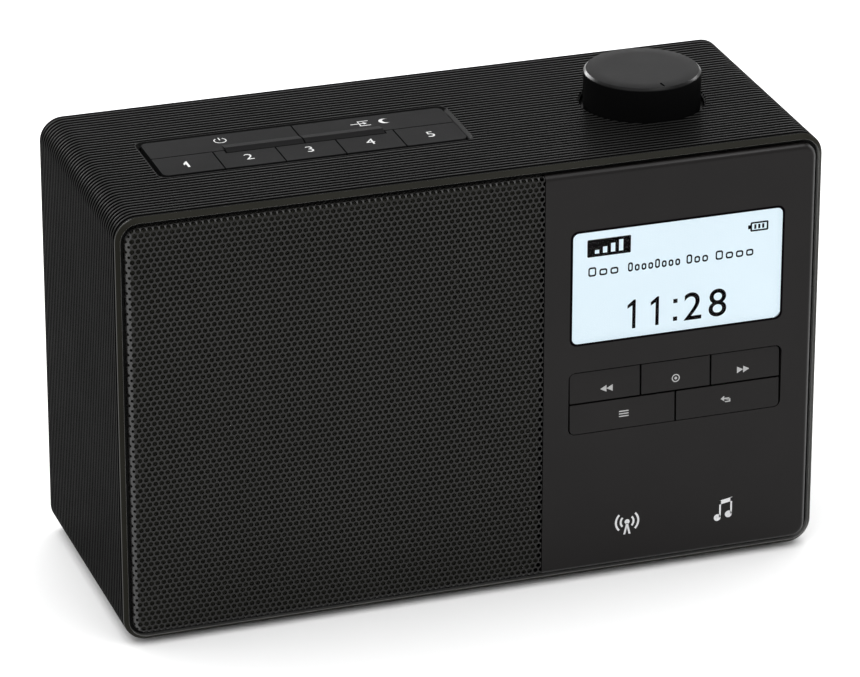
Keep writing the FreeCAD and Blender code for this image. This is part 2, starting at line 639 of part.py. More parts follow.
def top_key(outline):
    """Key cap from its plan outline."""
    owner = body()
    profile = sketch(owner, "XY_Plane", f"{CAB_TOP} - dims.top_key_thick")
    draw_polygon(profile, outline)
    pad(owner, profile, "dims.top_key_thick")
    return owner


def finish_top_key(owner, label, corners, stems):
    """Rounds the outer corners and adds the stems that reach down to the switches."""
    round_corners(owner, "dims.top_keys_corner", corners, "XY")
    for x, y in stems:
        profile = sketch(owner, "XY_Plane", f"{CAB_TOP} - dims.top_key_thick")
        draw_circle(profile, x, y, "dims.stem_rad")
        pad(owner, profile, "dims.stem_length", reverse=True)
    keep(owner, label)


def add_ridge(owner, x0, x1):
    """Finger ridge along the front edge of a back key."""
    root = f"{CAB_TOP} - 1"
    profile = sketch(owner, "YZ_Plane", x0)
    draw_polygon(profile, [("dims.ridge_front", CAB_TOP), ("dims.ridge_front", root),
                           ("dims.ridge_back", root), ("dims.ridge_back", CAB_TOP),
                           ("dims.ridge_crest", f"{CAB_TOP} + dims.ridge_rise")])
    pad(owner, profile, f"({x1}) - ({x0})")


def make_back_key(label, outer, split, ridge_end, stems):
    """Power or source key; its front edge steps forward where it carries the finger ridge."""
    back, ridge = "dims.top_keys_back", "dims.ridge_front"
    owner = top_key([(outer, ROW_BACK), (ridge_end, ROW_BACK), (ridge_end, ridge), (split, ridge),
                     (split, back), (outer, back)])
    add_ridge(owner, *sorted((ridge_end, split), key=number))
    finish_top_key(owner, label, [(outer, back)], stems)


def make_preset_keys():
    """Five keys in front of the back ones; the middle three leave room for the ridge."""
    front = "dims.top_keys_front"
    spans = preset_spans()
    outer_corners = {0: [(spans[0][0], front)], 4: [(spans[4][1], front)]}
    for index, (left, right) in enumerate(spans):
        owner = top_key([(left, front), (right, front), (right, ROW_FRONT), (left, ROW_FRONT)])
        if index not in outer_corners:
            bay = sketch(owner, "XY_Plane", CAB_TOP)
            x0, x1 = "dims.ridge_left - dims.top_key_gap", "dims.ridge_right + dims.top_key_gap"
            y0, y1 = "dims.ridge_front - dims.top_key_gap", f"{ROW_FRONT} + 1"
            draw_polygon(bay, [(x0, y0), (x1, y0), (x1, y1), (x0, y1)])
            pocket(owner, bay, "dims.top_key_thick + 1")
        finish_top_key(owner, f"preset_key_{index + 1}", outer_corners.get(index, []),
                       [PRESET_STEMS[index]])


def make_top_keys():
    make_back_key("power_key", "dims.top_keys_left", f"(dims.back_split - {TOP_HALF_GAP})",
                  "dims.ridge_left", POWER_STEMS)
    make_back_key("source_key", "dims.top_keys_right", f"(dims.back_split + {TOP_HALF_GAP})",
                  "dims.ridge_right", SOURCE_STEMS)
    make_preset_keys()


def opening_block(grow, z0, z1):
    """Block over the top opening's outline, grown outwards."""
    return box(f"dims.opening_left - {grow}", f"dims.opening_right + {grow}",
               f"dims.opening_front - {grow}", f"dims.opening_back + {grow}", z0, z1)


def make_top_key_tray():
    """Tray under the top opening: it guides the keys' stems and carries their switch board."""
    outer = opening_block("(dims.tray_gap + dims.tray_wall)", "dims.tray_floor_z", CAVITY_TOP)
    inner = opening_block("dims.tray_gap", "dims.tray_floor_z + dims.tray_floor",
                          f"{CAVITY_TOP} + 1")
    legs = [cylinder("Z", x, y, "dims.top_board_z", "dims.tray_leg_rad",
                     "dims.tray_floor_z - dims.top_board_z")
            for x in ("dims.opening_left", "dims.opening_right")
            for y in ("dims.opening_front", "dims.opening_back")]
    holes = [cylinder("Z", x, y, "dims.tray_floor_z - 1", "dims.stem_rad + 0.3", 4)
             for x, y in POWER_STEMS + SOURCE_STEMS + PRESET_STEMS]
    keep(cut(fuse(outer, *legs), inner, *holes), "top_key_tray")


def make_top_key_board():
    keep(opening_block("dims.tray_wall", "dims.top_board_z - dims.circuit_thick",
                       "dims.top_board_z"), "top_key_board")
    side = "dims.switch_half"
    case_top = "(dims.top_board_z + dims.switch_height)"
    switches = []
    for x, y in [POWER_STEMS[0], SOURCE_STEMS[0]] + PRESET_STEMS:
        case = box(f"{x} - {side}", f"{x} + {side}", f"{y} - {side}", f"{y} + {side}",
                   "dims.top_board_z", case_top)
        button = cylinder("Z", x, y, case_top, "dims.switch_button_rad", "dims.switch_button_rise")
        switches.append(fuse(case, button))
    keep(group(switches), "top_key_switches")


# ---------------------------------------------------------------- knob and encoder
WELL_FLOOR_Z = f"({CAB_TOP} - dims.well_depth)"
ENCODER_TOP = f"({WELL_FLOOR_Z} - dims.well_floor)"
SHAFT_TOP = "(dims.knob_top_z - dims.knob_roof + 1)"


def make_knob():
    low, top = f"({WELL_FLOOR_Z} + dims.knob_gap)", "dims.knob_top_z"
    rad, bore = "dims.knob_rad", "dims.shaft_rad"
    chamfer = "dims.knob_chamfer"
    inner = "(dims.knob_rad - dims.knob_wall)"
    roof_low = "(dims.knob_top_z - dims.knob_roof)"
    hub_low = f"({WELL_FLOOR_Z} + dims.hub_low)"
    outline = [(bore, SHAFT_TOP), (0, SHAFT_TOP), (0, top), (f"{rad} - {chamfer}", top),
               (rad, f"{top} - {chamfer}"), (rad, low), (inner, low), (inner, roof_low),
               ("dims.hub_rad", roof_low), ("dims.hub_rad", hub_low), (bore, hub_low)]
    keep(turned(outline, "XZ_Plane", "dims.knob_x", "dims.knob_y"), "volume_knob")
    in_encoder = 3
    shaft = cylinder("Z", "dims.knob_x", "dims.knob_y", f"{ENCODER_TOP} - {in_encoder}", bore,
                     f"{SHAFT_TOP} - {ENCODER_TOP} + {in_encoder}")
    keep(shaft, "encoder_shaft")


def make_encoder():
    """Encoder under the well's floor; its bush comes up through the floor and takes the nut."""
    x, y = "dims.knob_x", "dims.knob_y"
    half = "dims.encoder_side / 2"
    case = box(f"{x} - {half}", f"{x} + {half}", f"{y} - {half}", f"{y} + {half}",
               f"{ENCODER_TOP} - dims.encoder_depth", ENCODER_TOP)
    bush_low = f"({ENCODER_TOP} - 1)"
    bush = cylinder("Z", x, y, bush_low, "dims.bush_rad",
                    f"{WELL_FLOOR_Z} + dims.bush_rise - {bush_low}")
    bore_length = 20
    bore = cylinder("Z", x, y, f"{ENCODER_TOP} - 3.1", "dims.shaft_rad + dims.shaft_play",
                    bore_length)
    keep(cut(fuse(case, bush), bore), "encoder_body")
    owner = body(x, y)
    profile = sketch(owner, "XY_Plane", WELL_FLOOR_Z)
    corners = [math.radians(60 * step) for step in range(6)]
    draw_polygon(profile, [(f"dims.nut_rad * {math.cos(angle):.6f}",
                            f"dims.nut_rad * {math.sin(angle):.6f}") for angle in corners])
    draw_circle(profile, 0, 0, "dims.bush_rad")
    pad(owner, profile, "dims.nut_thick")
    keep(owner, "encoder_nut")


# ---------------------------------------------------------------- speaker
def speaker_screw_places():
    places = []
    for step in range(4):
        angle = math.radians(45 + 90 * step)
        places.append((f"(dims.speaker_x + dims.speaker_screw_rad * {math.cos(angle):.6f})",
                       f"(dims.speaker_z + dims.speaker_screw_rad * {math.sin(angle):.6f})"))
    return places


def speaker_turning(label, points):
    """Turned speaker piece; points are (radius, y) about the speaker's axis."""
    owner = turned(points, "XY_Plane", "dims.speaker_x", 0, "dims.speaker_z")
    keep(owner, label)
    return owner


def speaker_holes(y0, length):
    return [cylinder("Y", x, y0, z, "dims.speaker_screw_hole", length)
            for x, z in speaker_screw_places()]


def make_speaker_basket():
    """Steel frame with a flange, four windows in its cone and a tab for the leads."""
    front, back, plate = "dims.flange_front_y", "dims.flange_back_y", "dims.plate_front_y"
    owner = turned([("dims.flange_rad", front), ("dims.flange_rad", back), (36.0, back),
                    ("dims.frame_rad", -23.0), ("dims.frame_rad", plate), (11.6, plate),
                    (11.6, f"{plate} - 1.5"), (19.5, f"{plate} - 1.5"), (19.5, -24.6),
                    (22.4, -24.6), (33.4, -41.4), (33.4, front)], "XY_Plane", "dims.speaker_x", 0,
                   "dims.speaker_z")
    half, reach, y0, y1 = 11, 40, -38.4, -26.2
    across = box(f"dims.speaker_x - {reach}", f"dims.speaker_x + {reach}", y0, y1,
                 f"dims.speaker_z - {half}", f"dims.speaker_z + {half}")
    upright = box(f"dims.speaker_x - {half}", f"dims.speaker_x + {half}", y0, y1,
                  f"dims.speaker_z - {reach}", f"dims.speaker_z + {reach}")
    tab = box("dims.speaker_x + dims.frame_rad - 1", "dims.terminal_x + 1.6",
              "dims.terminal_back_y - 1.2", "dims.terminal_back_y", "dims.speaker_z - 6",
              "dims.speaker_z + 2")
    keep(fuse(cut(owner, across, upright, *speaker_holes(-43, 4)), tab), "speaker_basket")


def make_magnet():
    plate, magnet = "dims.plate_front_y", "dims.magnet_front_y"
    magnet_back, yoke_back = "dims.magnet_back_y", "dims.yoke_back_y"
    speaker_turning("speaker_magnet", [(14, magnet), ("dims.magnet_rad", magnet),
                                       ("dims.magnet_rad", magnet_back), (14, magnet_back)])
    speaker_turning("speaker_yoke", [(0, -22), (9.2, -22), (9.2, magnet_back), (29, magnet_back),
                                     (29, yoke_back), (0, yoke_back)])
    speaker_turning("speaker_top_plate", [(11.6, plate), (27, plate), (27, magnet),
                                          (11.6, magnet)])


def make_cone():
    """Moving parts of the speaker; the cone and the cap are glued round the coil's former."""
    inner, outer = "dims.coil_in_rad", "dims.coil_out_rad"
    glued = "(dims.coil_out_rad + dims.glue_gap)"
    speaker_turning("voice_coil", [(inner, -31.3), (outer, -31.3), (outer, -13), (inner, -13)])
    speaker_turning("speaker_cone", [(glued, -30.6), (30.3, -42.6), (30.3, -42.0), (11.2, -29.6),
                                     (glued, -29.6)])
    speaker_turning("dust_cap", [(0, -35.2), (5, -34.5), (9.0, -32.9), (11.6, -31.34),
                                 (glued, -31.34), (8.4, -32.4), (4.8, -33.9), (0, -34.6)])
    front = "dims.flange_front_y"
    speaker_turning("speaker_surround", [(30.3, -42.6), (30.9, -44.0), (31.9, -44.5),
                                         (32.9, -44.0), (33.4, front), (33.0, front),
                                         (32.6, -43.6), (31.9, -44.0), (31.2, -43.6),
                                         (30.7, -42.2)])
    speaker_turning("speaker_spider", [(glued, -26.4), (13, -25.6), (16, -26.4), (19.6, -25.4),
                                       (22.0, -25.4), (22.0, -24.8), (19.6, -24.8), (16, -25.8),
                                       (13, -25.0), (glued, -25.8)])


def make_speaker():
    make_speaker_basket()
    make_magnet()
    make_cone()
    front, ledge = "dims.flange_front_y", "dims.ledge_y"
    gasket = turned([(33.4, ledge), ("dims.flange_rad", ledge), ("dims.flange_rad", front),
                     (33.4, front)], "XY_Plane", "dims.speaker_x", 0, "dims.speaker_z")
    keep(cut(gasket, *speaker_holes(-44, 3)), "speaker_gasket")
    head, tip = f"(dims.flange_back_y + {HEAD_LENGTH})", "(dims.ledge_y - 1.8)"
    screws = [screw_along_y(x, z, head, tip, 2.1, "dims.speaker_screw_hole")
              for x, z in speaker_screw_places()]
    keep(group(screws), "speaker_screws")


# ---------------------------------------------------------------- electronics
def make_main_board():
    plate = box("dims.board_left", "dims.board_right", "dims.board_front", "dims.board_back",
                "dims.board_z", BOARD_TOP)
    holes = [cylinder("Z", x, y, "dims.board_z - 1", "dims.board_screw_rad", 4)
             for x, y in board_corners()]
    keep(cut(plate, *holes), "main_board")
    head_rad, head_length, length = 2.2, 1.4, 6
    screws = []
    for x, y in board_corners():
        head = cylinder("Z", x, y, BOARD_TOP, head_rad, head_length)
        shank = cylinder("Z", x, y, f"{BOARD_TOP} - {length}", "dims.board_screw_rad", length)
        screws.append(fuse(head, shank))
    keep(group(screws), "board_screws")


def make_board_parts():
    """Tuner can, amplifier heatsink and capacitors on the main board."""
    sheet = "dims.tuner_sheet"
    can = box("dims.tuner_left", "dims.tuner_right", "dims.tuner_front", "dims.tuner_back",
              BOARD_TOP, f"{BOARD_TOP} + dims.tuner_height")
    inside = box(f"dims.tuner_left + {sheet}", f"dims.tuner_right - {sheet}",
                 f"dims.tuner_front + {sheet}", f"dims.tuner_back - {sheet}", BOARD_TOP,
                 f"{BOARD_TOP} + dims.tuner_height - {sheet}")
    keep(cut(can, inside), "tuner_shield")
    base_top = f"({BOARD_TOP} + dims.sink_base)"
    base = box("dims.sink_left", "dims.sink_right", "dims.sink_front", "dims.sink_back",
               BOARD_TOP, base_top)
    fins = []
    for index in range(6):
        left = f"(dims.fin_first + {index} * dims.fin_pitch)"
        fins.append(box(left, f"{left} + dims.fin_thick", "dims.sink_front", "dims.sink_back",
                        base_top, f"{base_top} + dims.fin_height"))
    keep(fuse(base, *fins), "amplifier_heatsink")
    cans = [cylinder("Z", x, y, BOARD_TOP, "dims.can_rad", "dims.can_height")
            for x, y in ((30, 4), (40, 4), (50, 4), (60, -26))]
    keep(group(cans), "board_capacitors")


def lead_path(points):
    """Wire of straight runs joined by tangent arcs, each arc as large as its runs allow."""
    corners = [FreeCAD.Vector(*point) for point in points]
    edges = []
    start = corners[0]
    for before, corner, after in zip(corners, corners[1:], corners[2:]):
        into = (before - corner).normalize()
        out = (after - corner).normalize()
        shorter = min((before - corner).Length, (after - corner).Length)
        reach = 0.45 * shorter
        half_turn = (math.pi - into.getAngle(out)) / 2
        radius = reach / math.tan(half_turn)
        first, last = corner + into * reach, corner + out * reach
        bisector = (into + out).normalize()
        centre = corner + bisector * (radius / math.cos(half_turn))
        middle = centre - bisector * radius
        edges.append(Part.LineSegment(start, first).toShape())
        edges.append(Part.Arc(first, middle, last).toShape())
        start = last
    edges.append(Part.LineSegment(start, corners[-1]).toShape())
    return Part.Wire(edges)


def make_speaker_leads():
    """Two insulated leads from the speaker's tab down to the main board."""
    x, y, z = (number(name) for name in ("dims.terminal_x", "dims.terminal_back_y",
                                         "dims.speaker_z"))
    board_top = number(BOARD_TOP)
    tubes = []
    for shift in (0, 4):
        route = [(x, y, z - shift), (x, y + 5, z - shift), (x + 14, y + 9, z - 10 - shift),
                 (x + 26 + shift, y + 9, z - 32), (x + 29 + shift, y + 12, board_top + 12),
                 (x + 30 + shift, y + 16, board_top + 5), (x + 30 + shift, y + 16, board_top)]
        path = lead_path(route)
        direction = FreeCAD.Vector(*route[1]) - FreeCAD.Vector(*route[0])
        circle = Part.makeCircle(number("dims.lead_rad"), FreeCAD.Vector(*route[0]), direction)
        tube = path.makePipeShell([Part.Wire(circle)], True, False)
        expected = math.pi * number("dims.lead_rad") ** 2 * path.Length
        if abs(tube.Volume - expected) > 0.02 * expected:
            raise RuntimeError("a speaker lead is not a clean tube")
        tubes.append(tube)
    piece = DOC.addObject("Part::Feature", "leads")
    piece.Shape = Part.makeCompound(tubes)
    keep(piece, "speaker_leads")


# ---------------------------------------------------------------- rear cover, battery, sockets
def make_rear_cover():
    gap = "(dims.cab_wall + dims.cover_gap)"
    owner = round_plate(f"-(dims.cab_width / 2 - {gap})", f"dims.cab_width / 2 - {gap}",
                        f"{CAB_LOW} + {gap}", f"{CAB_TOP} - {gap}", f"dims.cab_corner - {gap}",
                        COVER_FRONT_Y, COVER_BACK_Y)
    wall = "dims.bay_wall"
    bay = sketch(owner, "XZ_Plane", f"-({COVER_FRONT_Y})")
    draw_round_rect(bay, f"dims.bay_left - {wall}", f"dims.bay_right + {wall}",
                    f"dims.bay_low - {wall}", f"dims.bay_top + {wall}", 1.5)
    pad(owner, bay, f"{COVER_FRONT_Y} - dims.bay_front_y + {wall}")
    hollow = sketch(owner, "XZ_Plane", f"-({COVER_BACK_Y})")
    draw_round_rect(hollow, "dims.bay_left", "dims.bay_right", "dims.bay_low", "dims.bay_top", 1)
    pocket(owner, hollow, f"{COVER_BACK_Y} - dims.bay_front_y", reverse=True)
    add_cover_openings(owner)
    keep(owner, "rear_cover")


def add_cover_openings(owner):
    """Door seat, screw and socket holes, and vents."""
    margin = "(dims.door_margin + dims.door_gap)"
    seat = sketch(owner, "XZ_Plane", f"-({COVER_BACK_Y})")
    draw_round_rect(seat, f"dims.bay_left - {margin}", f"dims.bay_right + {margin}",
                    f"dims.bay_low - {margin}", f"dims.bay_top + {margin}", "dims.door_seat_corner")
    pocket(owner, seat, "dims.door_thick + 0.2", reverse=True)
    holes = sketch(owner, "XZ_Plane", f"-({COVER_BACK_Y})")
    for x, z in BOSS_PLACES:
        draw_circle(holes, x, z, "dims.pilot_rad")
    draw_circle(holes, "dims.power_x", "dims.socket_z", POWER_NOSE_RAD + 0.2)
    draw_circle(holes, "dims.earphone_x", "dims.socket_z", EARPHONE_NOSE_RAD + 0.2)
    draw_circle(holes, "dims.aerial_x", "dims.aerial_z", "dims.stem_hole_rad")
    pocket(owner, holes, "dims.cover_thick + 1", reverse=True)
    heads = sketch(owner, "XZ_Plane", f"-({COVER_BACK_Y})")
    for x, z in BOSS_PLACES:
        draw_circle(heads, x, z, HEAD_HOLE_RAD)
    pocket(owner, heads, HEAD_LENGTH + 0.1, reverse=True)
    vents = sketch(owner, "XZ_Plane", f"-({COVER_BACK_Y})")
    for index in range(9):
        low = f"(dims.vent_low + {index} * dims.vent_pitch)"
        draw_round_rect(vents, "dims.vent_left", "dims.vent_right", low,
                        f"{low} + dims.vent_height", 0.7)
    pocket(owner, vents, "dims.cover_thick + 1", reverse=True)


def make_battery_door():
    """Door flush with the cover; its low edge is a round bead that it turns about."""
    margin = "dims.door_margin"
    left, right = f"(dims.bay_left - {margin})", f"(dims.bay_right + {margin})"
    axle_z = f"(dims.bay_low - {margin} + dims.door_axle_rad)"
    top = f"(dims.bay_top + {margin})"
    door = body()
    profile = sketch(door, "XZ_Plane", f"-({COVER_BACK_Y})")
    draw_polygon(profile, [(left, axle_z), (right, axle_z), (right, top), (left, top)])
    pad(door, profile, "dims.door_thick")
    round_corners(door, "dims.door_corner", [(left, top), (right, top)], "XZ")
    bead = sketch(door, "YZ_Plane", left)
    draw_circle(bead, f"{COVER_BACK_Y} - dims.door_axle_rad", axle_z, "dims.door_axle_rad")
    pad(door, bead, f"{right} - {left}")
    grip = sketch(door, "XZ_Plane", f"-({COVER_BACK_Y})")
    middle = "(dims.bay_left + dims.bay_right) / 2"
    draw_round_rect(grip, f"{middle} - dims.grip_half", f"{middle} + dims.grip_half",
                    "dims.bay_top - 2", "dims.bay_top + 1.4", 1.6)
    pocket(door, grip, "dims.grip_depth", reverse=True)
    keep(door, "battery_door")


def make_batteries():
    """Four cells in two rows, between spring contacts on the left and plates on the right."""
    y = "(dims.bay_front_y + dims.cell_rad + 1.25)"
    thick = "dims.contact_thick"
    tip_rad, coil_rad, coil_length, half_width, half_height = 2.7, 3.0, 2.8, 5, 5.5
    cells, contacts = [], []
    for row in (-0.5, 0.5):
        z = f"((dims.bay_low + dims.bay_top) / 2 + {row} * dims.cell_pitch)"
        for step in (0, 1):
            x = f"(dims.bay_left + 3.5 + {step} * (dims.cell_length + 0.1))"
            case_length = "(dims.cell_length - dims.cell_tip)"
            case = cylinder("X", x, y, z, "dims.cell_rad", case_length)
            cells.append(fuse(case, cylinder("X", f"{x} + {case_length}", y, z, tip_rad,
                                             "dims.cell_tip")))
        spring_x, plate_x = "(dims.bay_left + 0.1)", f"(dims.bay_right - 0.3 - {thick})"
        sides = (f"{y} - {half_width}", f"{y} + {half_width}", f"{z} - {half_height}",
                 f"{z} + {half_height}")
        coil = cylinder("X", f"{spring_x} + {thick}", y, z, coil_rad, coil_length)
        bore = cylinder("X", f"{spring_x} + 2 * {thick}", y, z, coil_rad - 0.8, coil_length + 1)
        contacts.append(cut(fuse(box(spring_x, f"{spring_x} + {thick}", *sides), coil), bore))
        contacts.append(box(plate_x, f"{plate_x} + {thick}", *sides))
    keep(group(cells), "battery_cells")
    keep(group(contacts), "battery_contacts")


POWER_NOSE_RAD, EARPHONE_NOSE_RAD = 4.2, 3.5


def socket(label, x, nose_rad, bore_rad, depth, half_width, height, pin_rad=None):
    """Socket on the main board whose nose fills its hole in the rear cover."""
    back = f"({COVER_BACK_Y} - 0.2)"
    case_back = f"({COVER_FRONT_Y} - 0.3)"
    case = box(f"{x} - {half_width}", f"{x} + {half_width}", f"{back} - {depth} - 2.5", case_back,
               BOARD_TOP, f"{BOARD_TOP} + {height}")
    nose = cylinder("Y", x, f"{case_back} - 1", "dims.socket_z", nose_rad,
                    f"{back} - {case_back} + 1")
    bore = cylinder("Y", x, f"{back} - {depth}", "dims.socket_z", bore_rad, f"{depth} + 1")
    piece = cut(fuse(case, nose), bore)
    if pin_rad:
        pin = cylinder("Y", x, f"{back} - {depth} - 1", "dims.socket_z", pin_rad, f"{depth}")
        piece = fuse(piece, pin)
    keep(piece, label)


def make_sockets():
    socket("power_socket", "dims.power_x", POWER_NOSE_RAD, 2.85, depth=9.5, half_width=4.5,
           height=11, pin_rad=1.0)
    socket("earphone_socket", "dims.earphone_x", EARPHONE_NOSE_RAD, 1.8, depth=13, half_width=3.5,
           height=10)


# ---------------------------------------------------------------- aerial
def make_aerial_swivel():
    """Swivel that turns on the rear cover, with a fork for the tilting rod."""
    base_y = f"({COVER_BACK_Y} + 0.05)"
    reach = "(dims.ear_gap / 2 + 1.4)"
    x, y, z = "dims.aerial_x", "dims.aerial_y", "dims.aerial_z"
    disc = cylinder("Y", x, base_y, z, 5, 1.2)
    block = box(f"{x} - dims.ear_rad", f"{x} + dims.ear_rad", f"{base_y} + 1", y,
                f"{z} - {reach}", f"{z} + {reach}")
    tower = cylinder("Z", x, y, f"{z} - {reach}", "dims.ear_rad", f"2 * {reach}")
    stem = cylinder("Y", x, f"{COVER_FRONT_Y} - 0.05", z, "dims.stem_hole_rad - 0.05",
                    f"{base_y} + 0.5 - {COVER_FRONT_Y} + 0.05")
    collar = cylinder("Y", x, f"{COVER_FRONT_Y} - 1.25", z, 4, 1.2)
    slot = box(f"{x} - 8", f"{x} + 8", f"{y} - dims.ear_rad", f"{y} + 8",
               f"{z} - dims.ear_gap / 2", f"{z} + dims.ear_gap / 2")
    hole = cylinder("Z", x, y, f"{z} - 8", "dims.pin_rad", 16)
    keep(cut(fuse(disc, block, tower, stem, collar), slot, hole), "aerial_swivel")
    pin = cylinder("Z", x, y, f"{z} - {reach}", "dims.pin_rad", f"2 * {reach}")
    keep(pin, "aerial_pin")


def aerial_tube(step, outer_rad, inner_rad):
    """Tube of the rod, a few steps further from the tilt pin at both its ends."""
    start = f"(dims.tube_start + {step} * dims.tube_step)"
    end = f"(dims.tube_end + {step} * dims.tube_step)"
    x = f"(dims.aerial_x - {end})"
    length = f"({end} - {start})"
    tube = cylinder("X", x, "dims.aerial_y", "dims.aerial_z", outer_rad, length)
    bore = cylinder("X", f"{x} - 1", "dims.aerial_y", "dims.aerial_z", inner_rad, f"{length} + 0.5")
    return cut(tube, bore)


def make_aerial_rod():
    x, y, z = "dims.aerial_x", "dims.aerial_y", "dims.aerial_z"
    half = "(dims.ear_gap / 2 - 0.1)"
    outer = aerial_tube(0, "dims.tube_outer_rad", "dims.tube_middle_rad + dims.tube_play")
    neck = box(f"{x} - dims.tube_start - 0.6", x, f"{y} - 1.6", f"{y} + 1.6",
               f"{z} - {half}", f"{z} + {half}")
    eye = cylinder("Z", x, y, f"{z} - {half}", 2.5, f"2 * {half}")
    hole = cylinder("Z", x, y, f"{z} - 8", "dims.pin_rad + 0.05", 16)
    keep(cut(fuse(outer, neck, eye), hole), "aerial_outer_tube")
    keep(aerial_tube(1, "dims.tube_middle_rad", "dims.tube_inner_rad + dims.tube_play"),
         "aerial_middle_tube")
    inner_bore, tip = 1.0, "dims.tip_length"
    keep(aerial_tube(2, "dims.tube_inner_rad", inner_bore), "aerial_inner_tube")
    tip_x = "(dims.aerial_x - dims.tube_end - 2 * dims.tube_step)"
    keep(fuse(cylinder("X", f"{tip_x} - {tip}", y, z, "dims.tube_outer_rad", tip),
              cylinder("X", tip_x, y, z, inner_bore, tip)), "aerial_tip")


# ---------------------------------------------------------------- build, check and write
def make_all():
    make_cabinet_shell()
    make_feet()
    make_front_baffle()
    make_case_screws()
    make_speaker_grille()
    make_control_panel()
    make_display()
    make_front_keys()
    make_front_key_board()
    make_top_keys()
    make_top_key_tray()
    make_top_key_board()
    make_knob()
    make_encoder()
    make_speaker()
    make_speaker_leads()
    make_main_board()
    make_board_parts()
    make_rear_cover()
    make_battery_door()
    make_batteries()
    make_sockets()
    make_aerial_swivel()
    make_aerial_rod()


def check_all():
    """Raises where any object failed or any piece is empty or broken."""
    DOC.recompute()
    for item in DOC.Objects:
        if "Invalid" in item.State or "Error" in item.State:
            raise RuntimeError(f"{item.Name} ({item.Label}) failed: {item.State}")
    for piece in SUBPARTS:
        shape = piece.Shape
        if shape.isNull() or not shape.isValid() or not shape.Solids:
            raise RuntimeError(f"{piece.Label} has no sound solid")


def write_all():
    os.makedirs("parts", exist_ok=True)
    for piece in SUBPARTS:
        piece.Shape.exportStep(f"parts/{piece.Label}.step")
    print(f"{len(SUBPARTS)} pieces written")


make_all()
check_all()
write_all()
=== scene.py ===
"""Looks of the tabletop radio, built around its CAD frame.

Metres, X right, Y back, Z up, as in the frame. Lengths written in millimetres carry MM,
except in the flat marks and legends, which are drawn in millimetres throughout.
"""
import json
import math

import bmesh
import bpy
from mathutils import Matrix, Vector


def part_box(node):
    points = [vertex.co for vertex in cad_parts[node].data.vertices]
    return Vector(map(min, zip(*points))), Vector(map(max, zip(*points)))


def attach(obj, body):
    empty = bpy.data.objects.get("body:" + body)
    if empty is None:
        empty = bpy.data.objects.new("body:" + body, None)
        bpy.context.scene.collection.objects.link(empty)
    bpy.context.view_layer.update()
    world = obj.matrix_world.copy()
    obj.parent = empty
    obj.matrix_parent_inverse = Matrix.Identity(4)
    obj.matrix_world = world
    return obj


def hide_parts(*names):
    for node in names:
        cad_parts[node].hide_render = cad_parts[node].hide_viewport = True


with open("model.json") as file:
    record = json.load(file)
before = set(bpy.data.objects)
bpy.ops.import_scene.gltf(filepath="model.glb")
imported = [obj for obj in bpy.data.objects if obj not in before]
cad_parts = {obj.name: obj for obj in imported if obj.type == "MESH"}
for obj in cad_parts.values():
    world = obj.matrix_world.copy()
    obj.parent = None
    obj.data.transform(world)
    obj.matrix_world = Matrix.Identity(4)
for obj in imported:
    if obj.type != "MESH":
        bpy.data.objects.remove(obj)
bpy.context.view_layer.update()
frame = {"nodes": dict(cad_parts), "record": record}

MM = 0.001
QUARTER = math.pi / 2
NODES = frame["nodes"]
SLOTS = {part["node"]: part["material_slot"] for part in frame["record"]["subparts"]}

# ---------------------------------------------------------------- sizes, from the frame
CAB_LOW, CAB_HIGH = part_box("cabinet_shell")
GRILLE_LOW, GRILLE_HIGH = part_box("speaker_grille")
WINDOW_LOW, WINDOW_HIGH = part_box("display_window")
KNOB_LOW, KNOB_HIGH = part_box("volume_knob")
KNOB_X, KNOB_Y = (KNOB_LOW.x + KNOB_HIGH.x) / 2, (KNOB_LOW.y + KNOB_HIGH.y) / 2
FACE_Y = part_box("control_panel")[0].y
LEDGE_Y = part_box("front_baffle")[1].y
FRONT_Y, REAR_Y = CAB_LOW.y, CAB_HIGH.y
TOP_Z = CAB_HIGH.z
MID_Z = (CAB_LOW.z + CAB_HIGH.z) / 2

# ---------------------------------------------------------------- sizes that a box doesn't give
CAB_CORNER = 7.85 * MM
CAB_WALL = 3.2 * MM
RIM_WALL = 1.6 * MM
RIM_SHOULDER = 1.62 * MM   # how far the rim's widest place lies behind the front edge
RIM_STEP = 0.30 * MM       # from there back to the ribs
FRONT_CORNER = 5.0 * MM    # corner radius of the grille's outline
EDGE_ROUND = 1.9 * MM      # radius of its rolled edge
RIB_PITCH = 2.085 * MM
RIB_DEPTH = 0.5 * MM
RIB_COUNT = 43
KEYS_LOW, KEYS_HIGH = (-97.4 * MM, -18.64 * MM), (10.0 * MM, 13.56 * MM)
KEYS_CORNER = 3.4 * MM
KEYS_BEVEL = 1.2 * MM
WELL_RADIUS = 20.9 * MM
CUT_DEPTH, CUT_ABOVE = 8 * MM, 2 * MM
SHEET_THICK = 0.6 * MM
MARK_THICK = 0.03 * MM
MARK_LIFT = 0.012 * MM
FIGURE_SHARE = 0.729   # a figure's height as a share of the font's size


# ---------------------------------------------------------------- material nodes
MIX_INPUTS = (0, 6, 7)   # the factor and the two colours among a colour mix's inputs
MIX_RESULT = 2
CLOUDS = 35              # slow changes of colour, in patches per metre
GLOSS_PATCHES = 160


def new_material(name, colour, roughness, metallic=0.0, specular=0.5):
    """Principled material with its fixed values set on the shader's own sockets."""
    material = bpy.data.materials.new(name)
    material.use_nodes = True
    shader = material.node_tree.nodes["Principled BSDF"]
    shader.inputs["Base Color"].default_value = (*colour, 1)
    shader.inputs["Roughness"].default_value = roughness
    shader.inputs["Metallic"].default_value = metallic
    shader.inputs["Specular IOR Level"].default_value = specular
    return material, material.node_tree, shader


def coordinates(tree, kind="Object"):
    return tree.nodes.new("ShaderNodeTexCoord").outputs[kind]


def scaled(colour, share):
    return [channel * share for channel in colour]


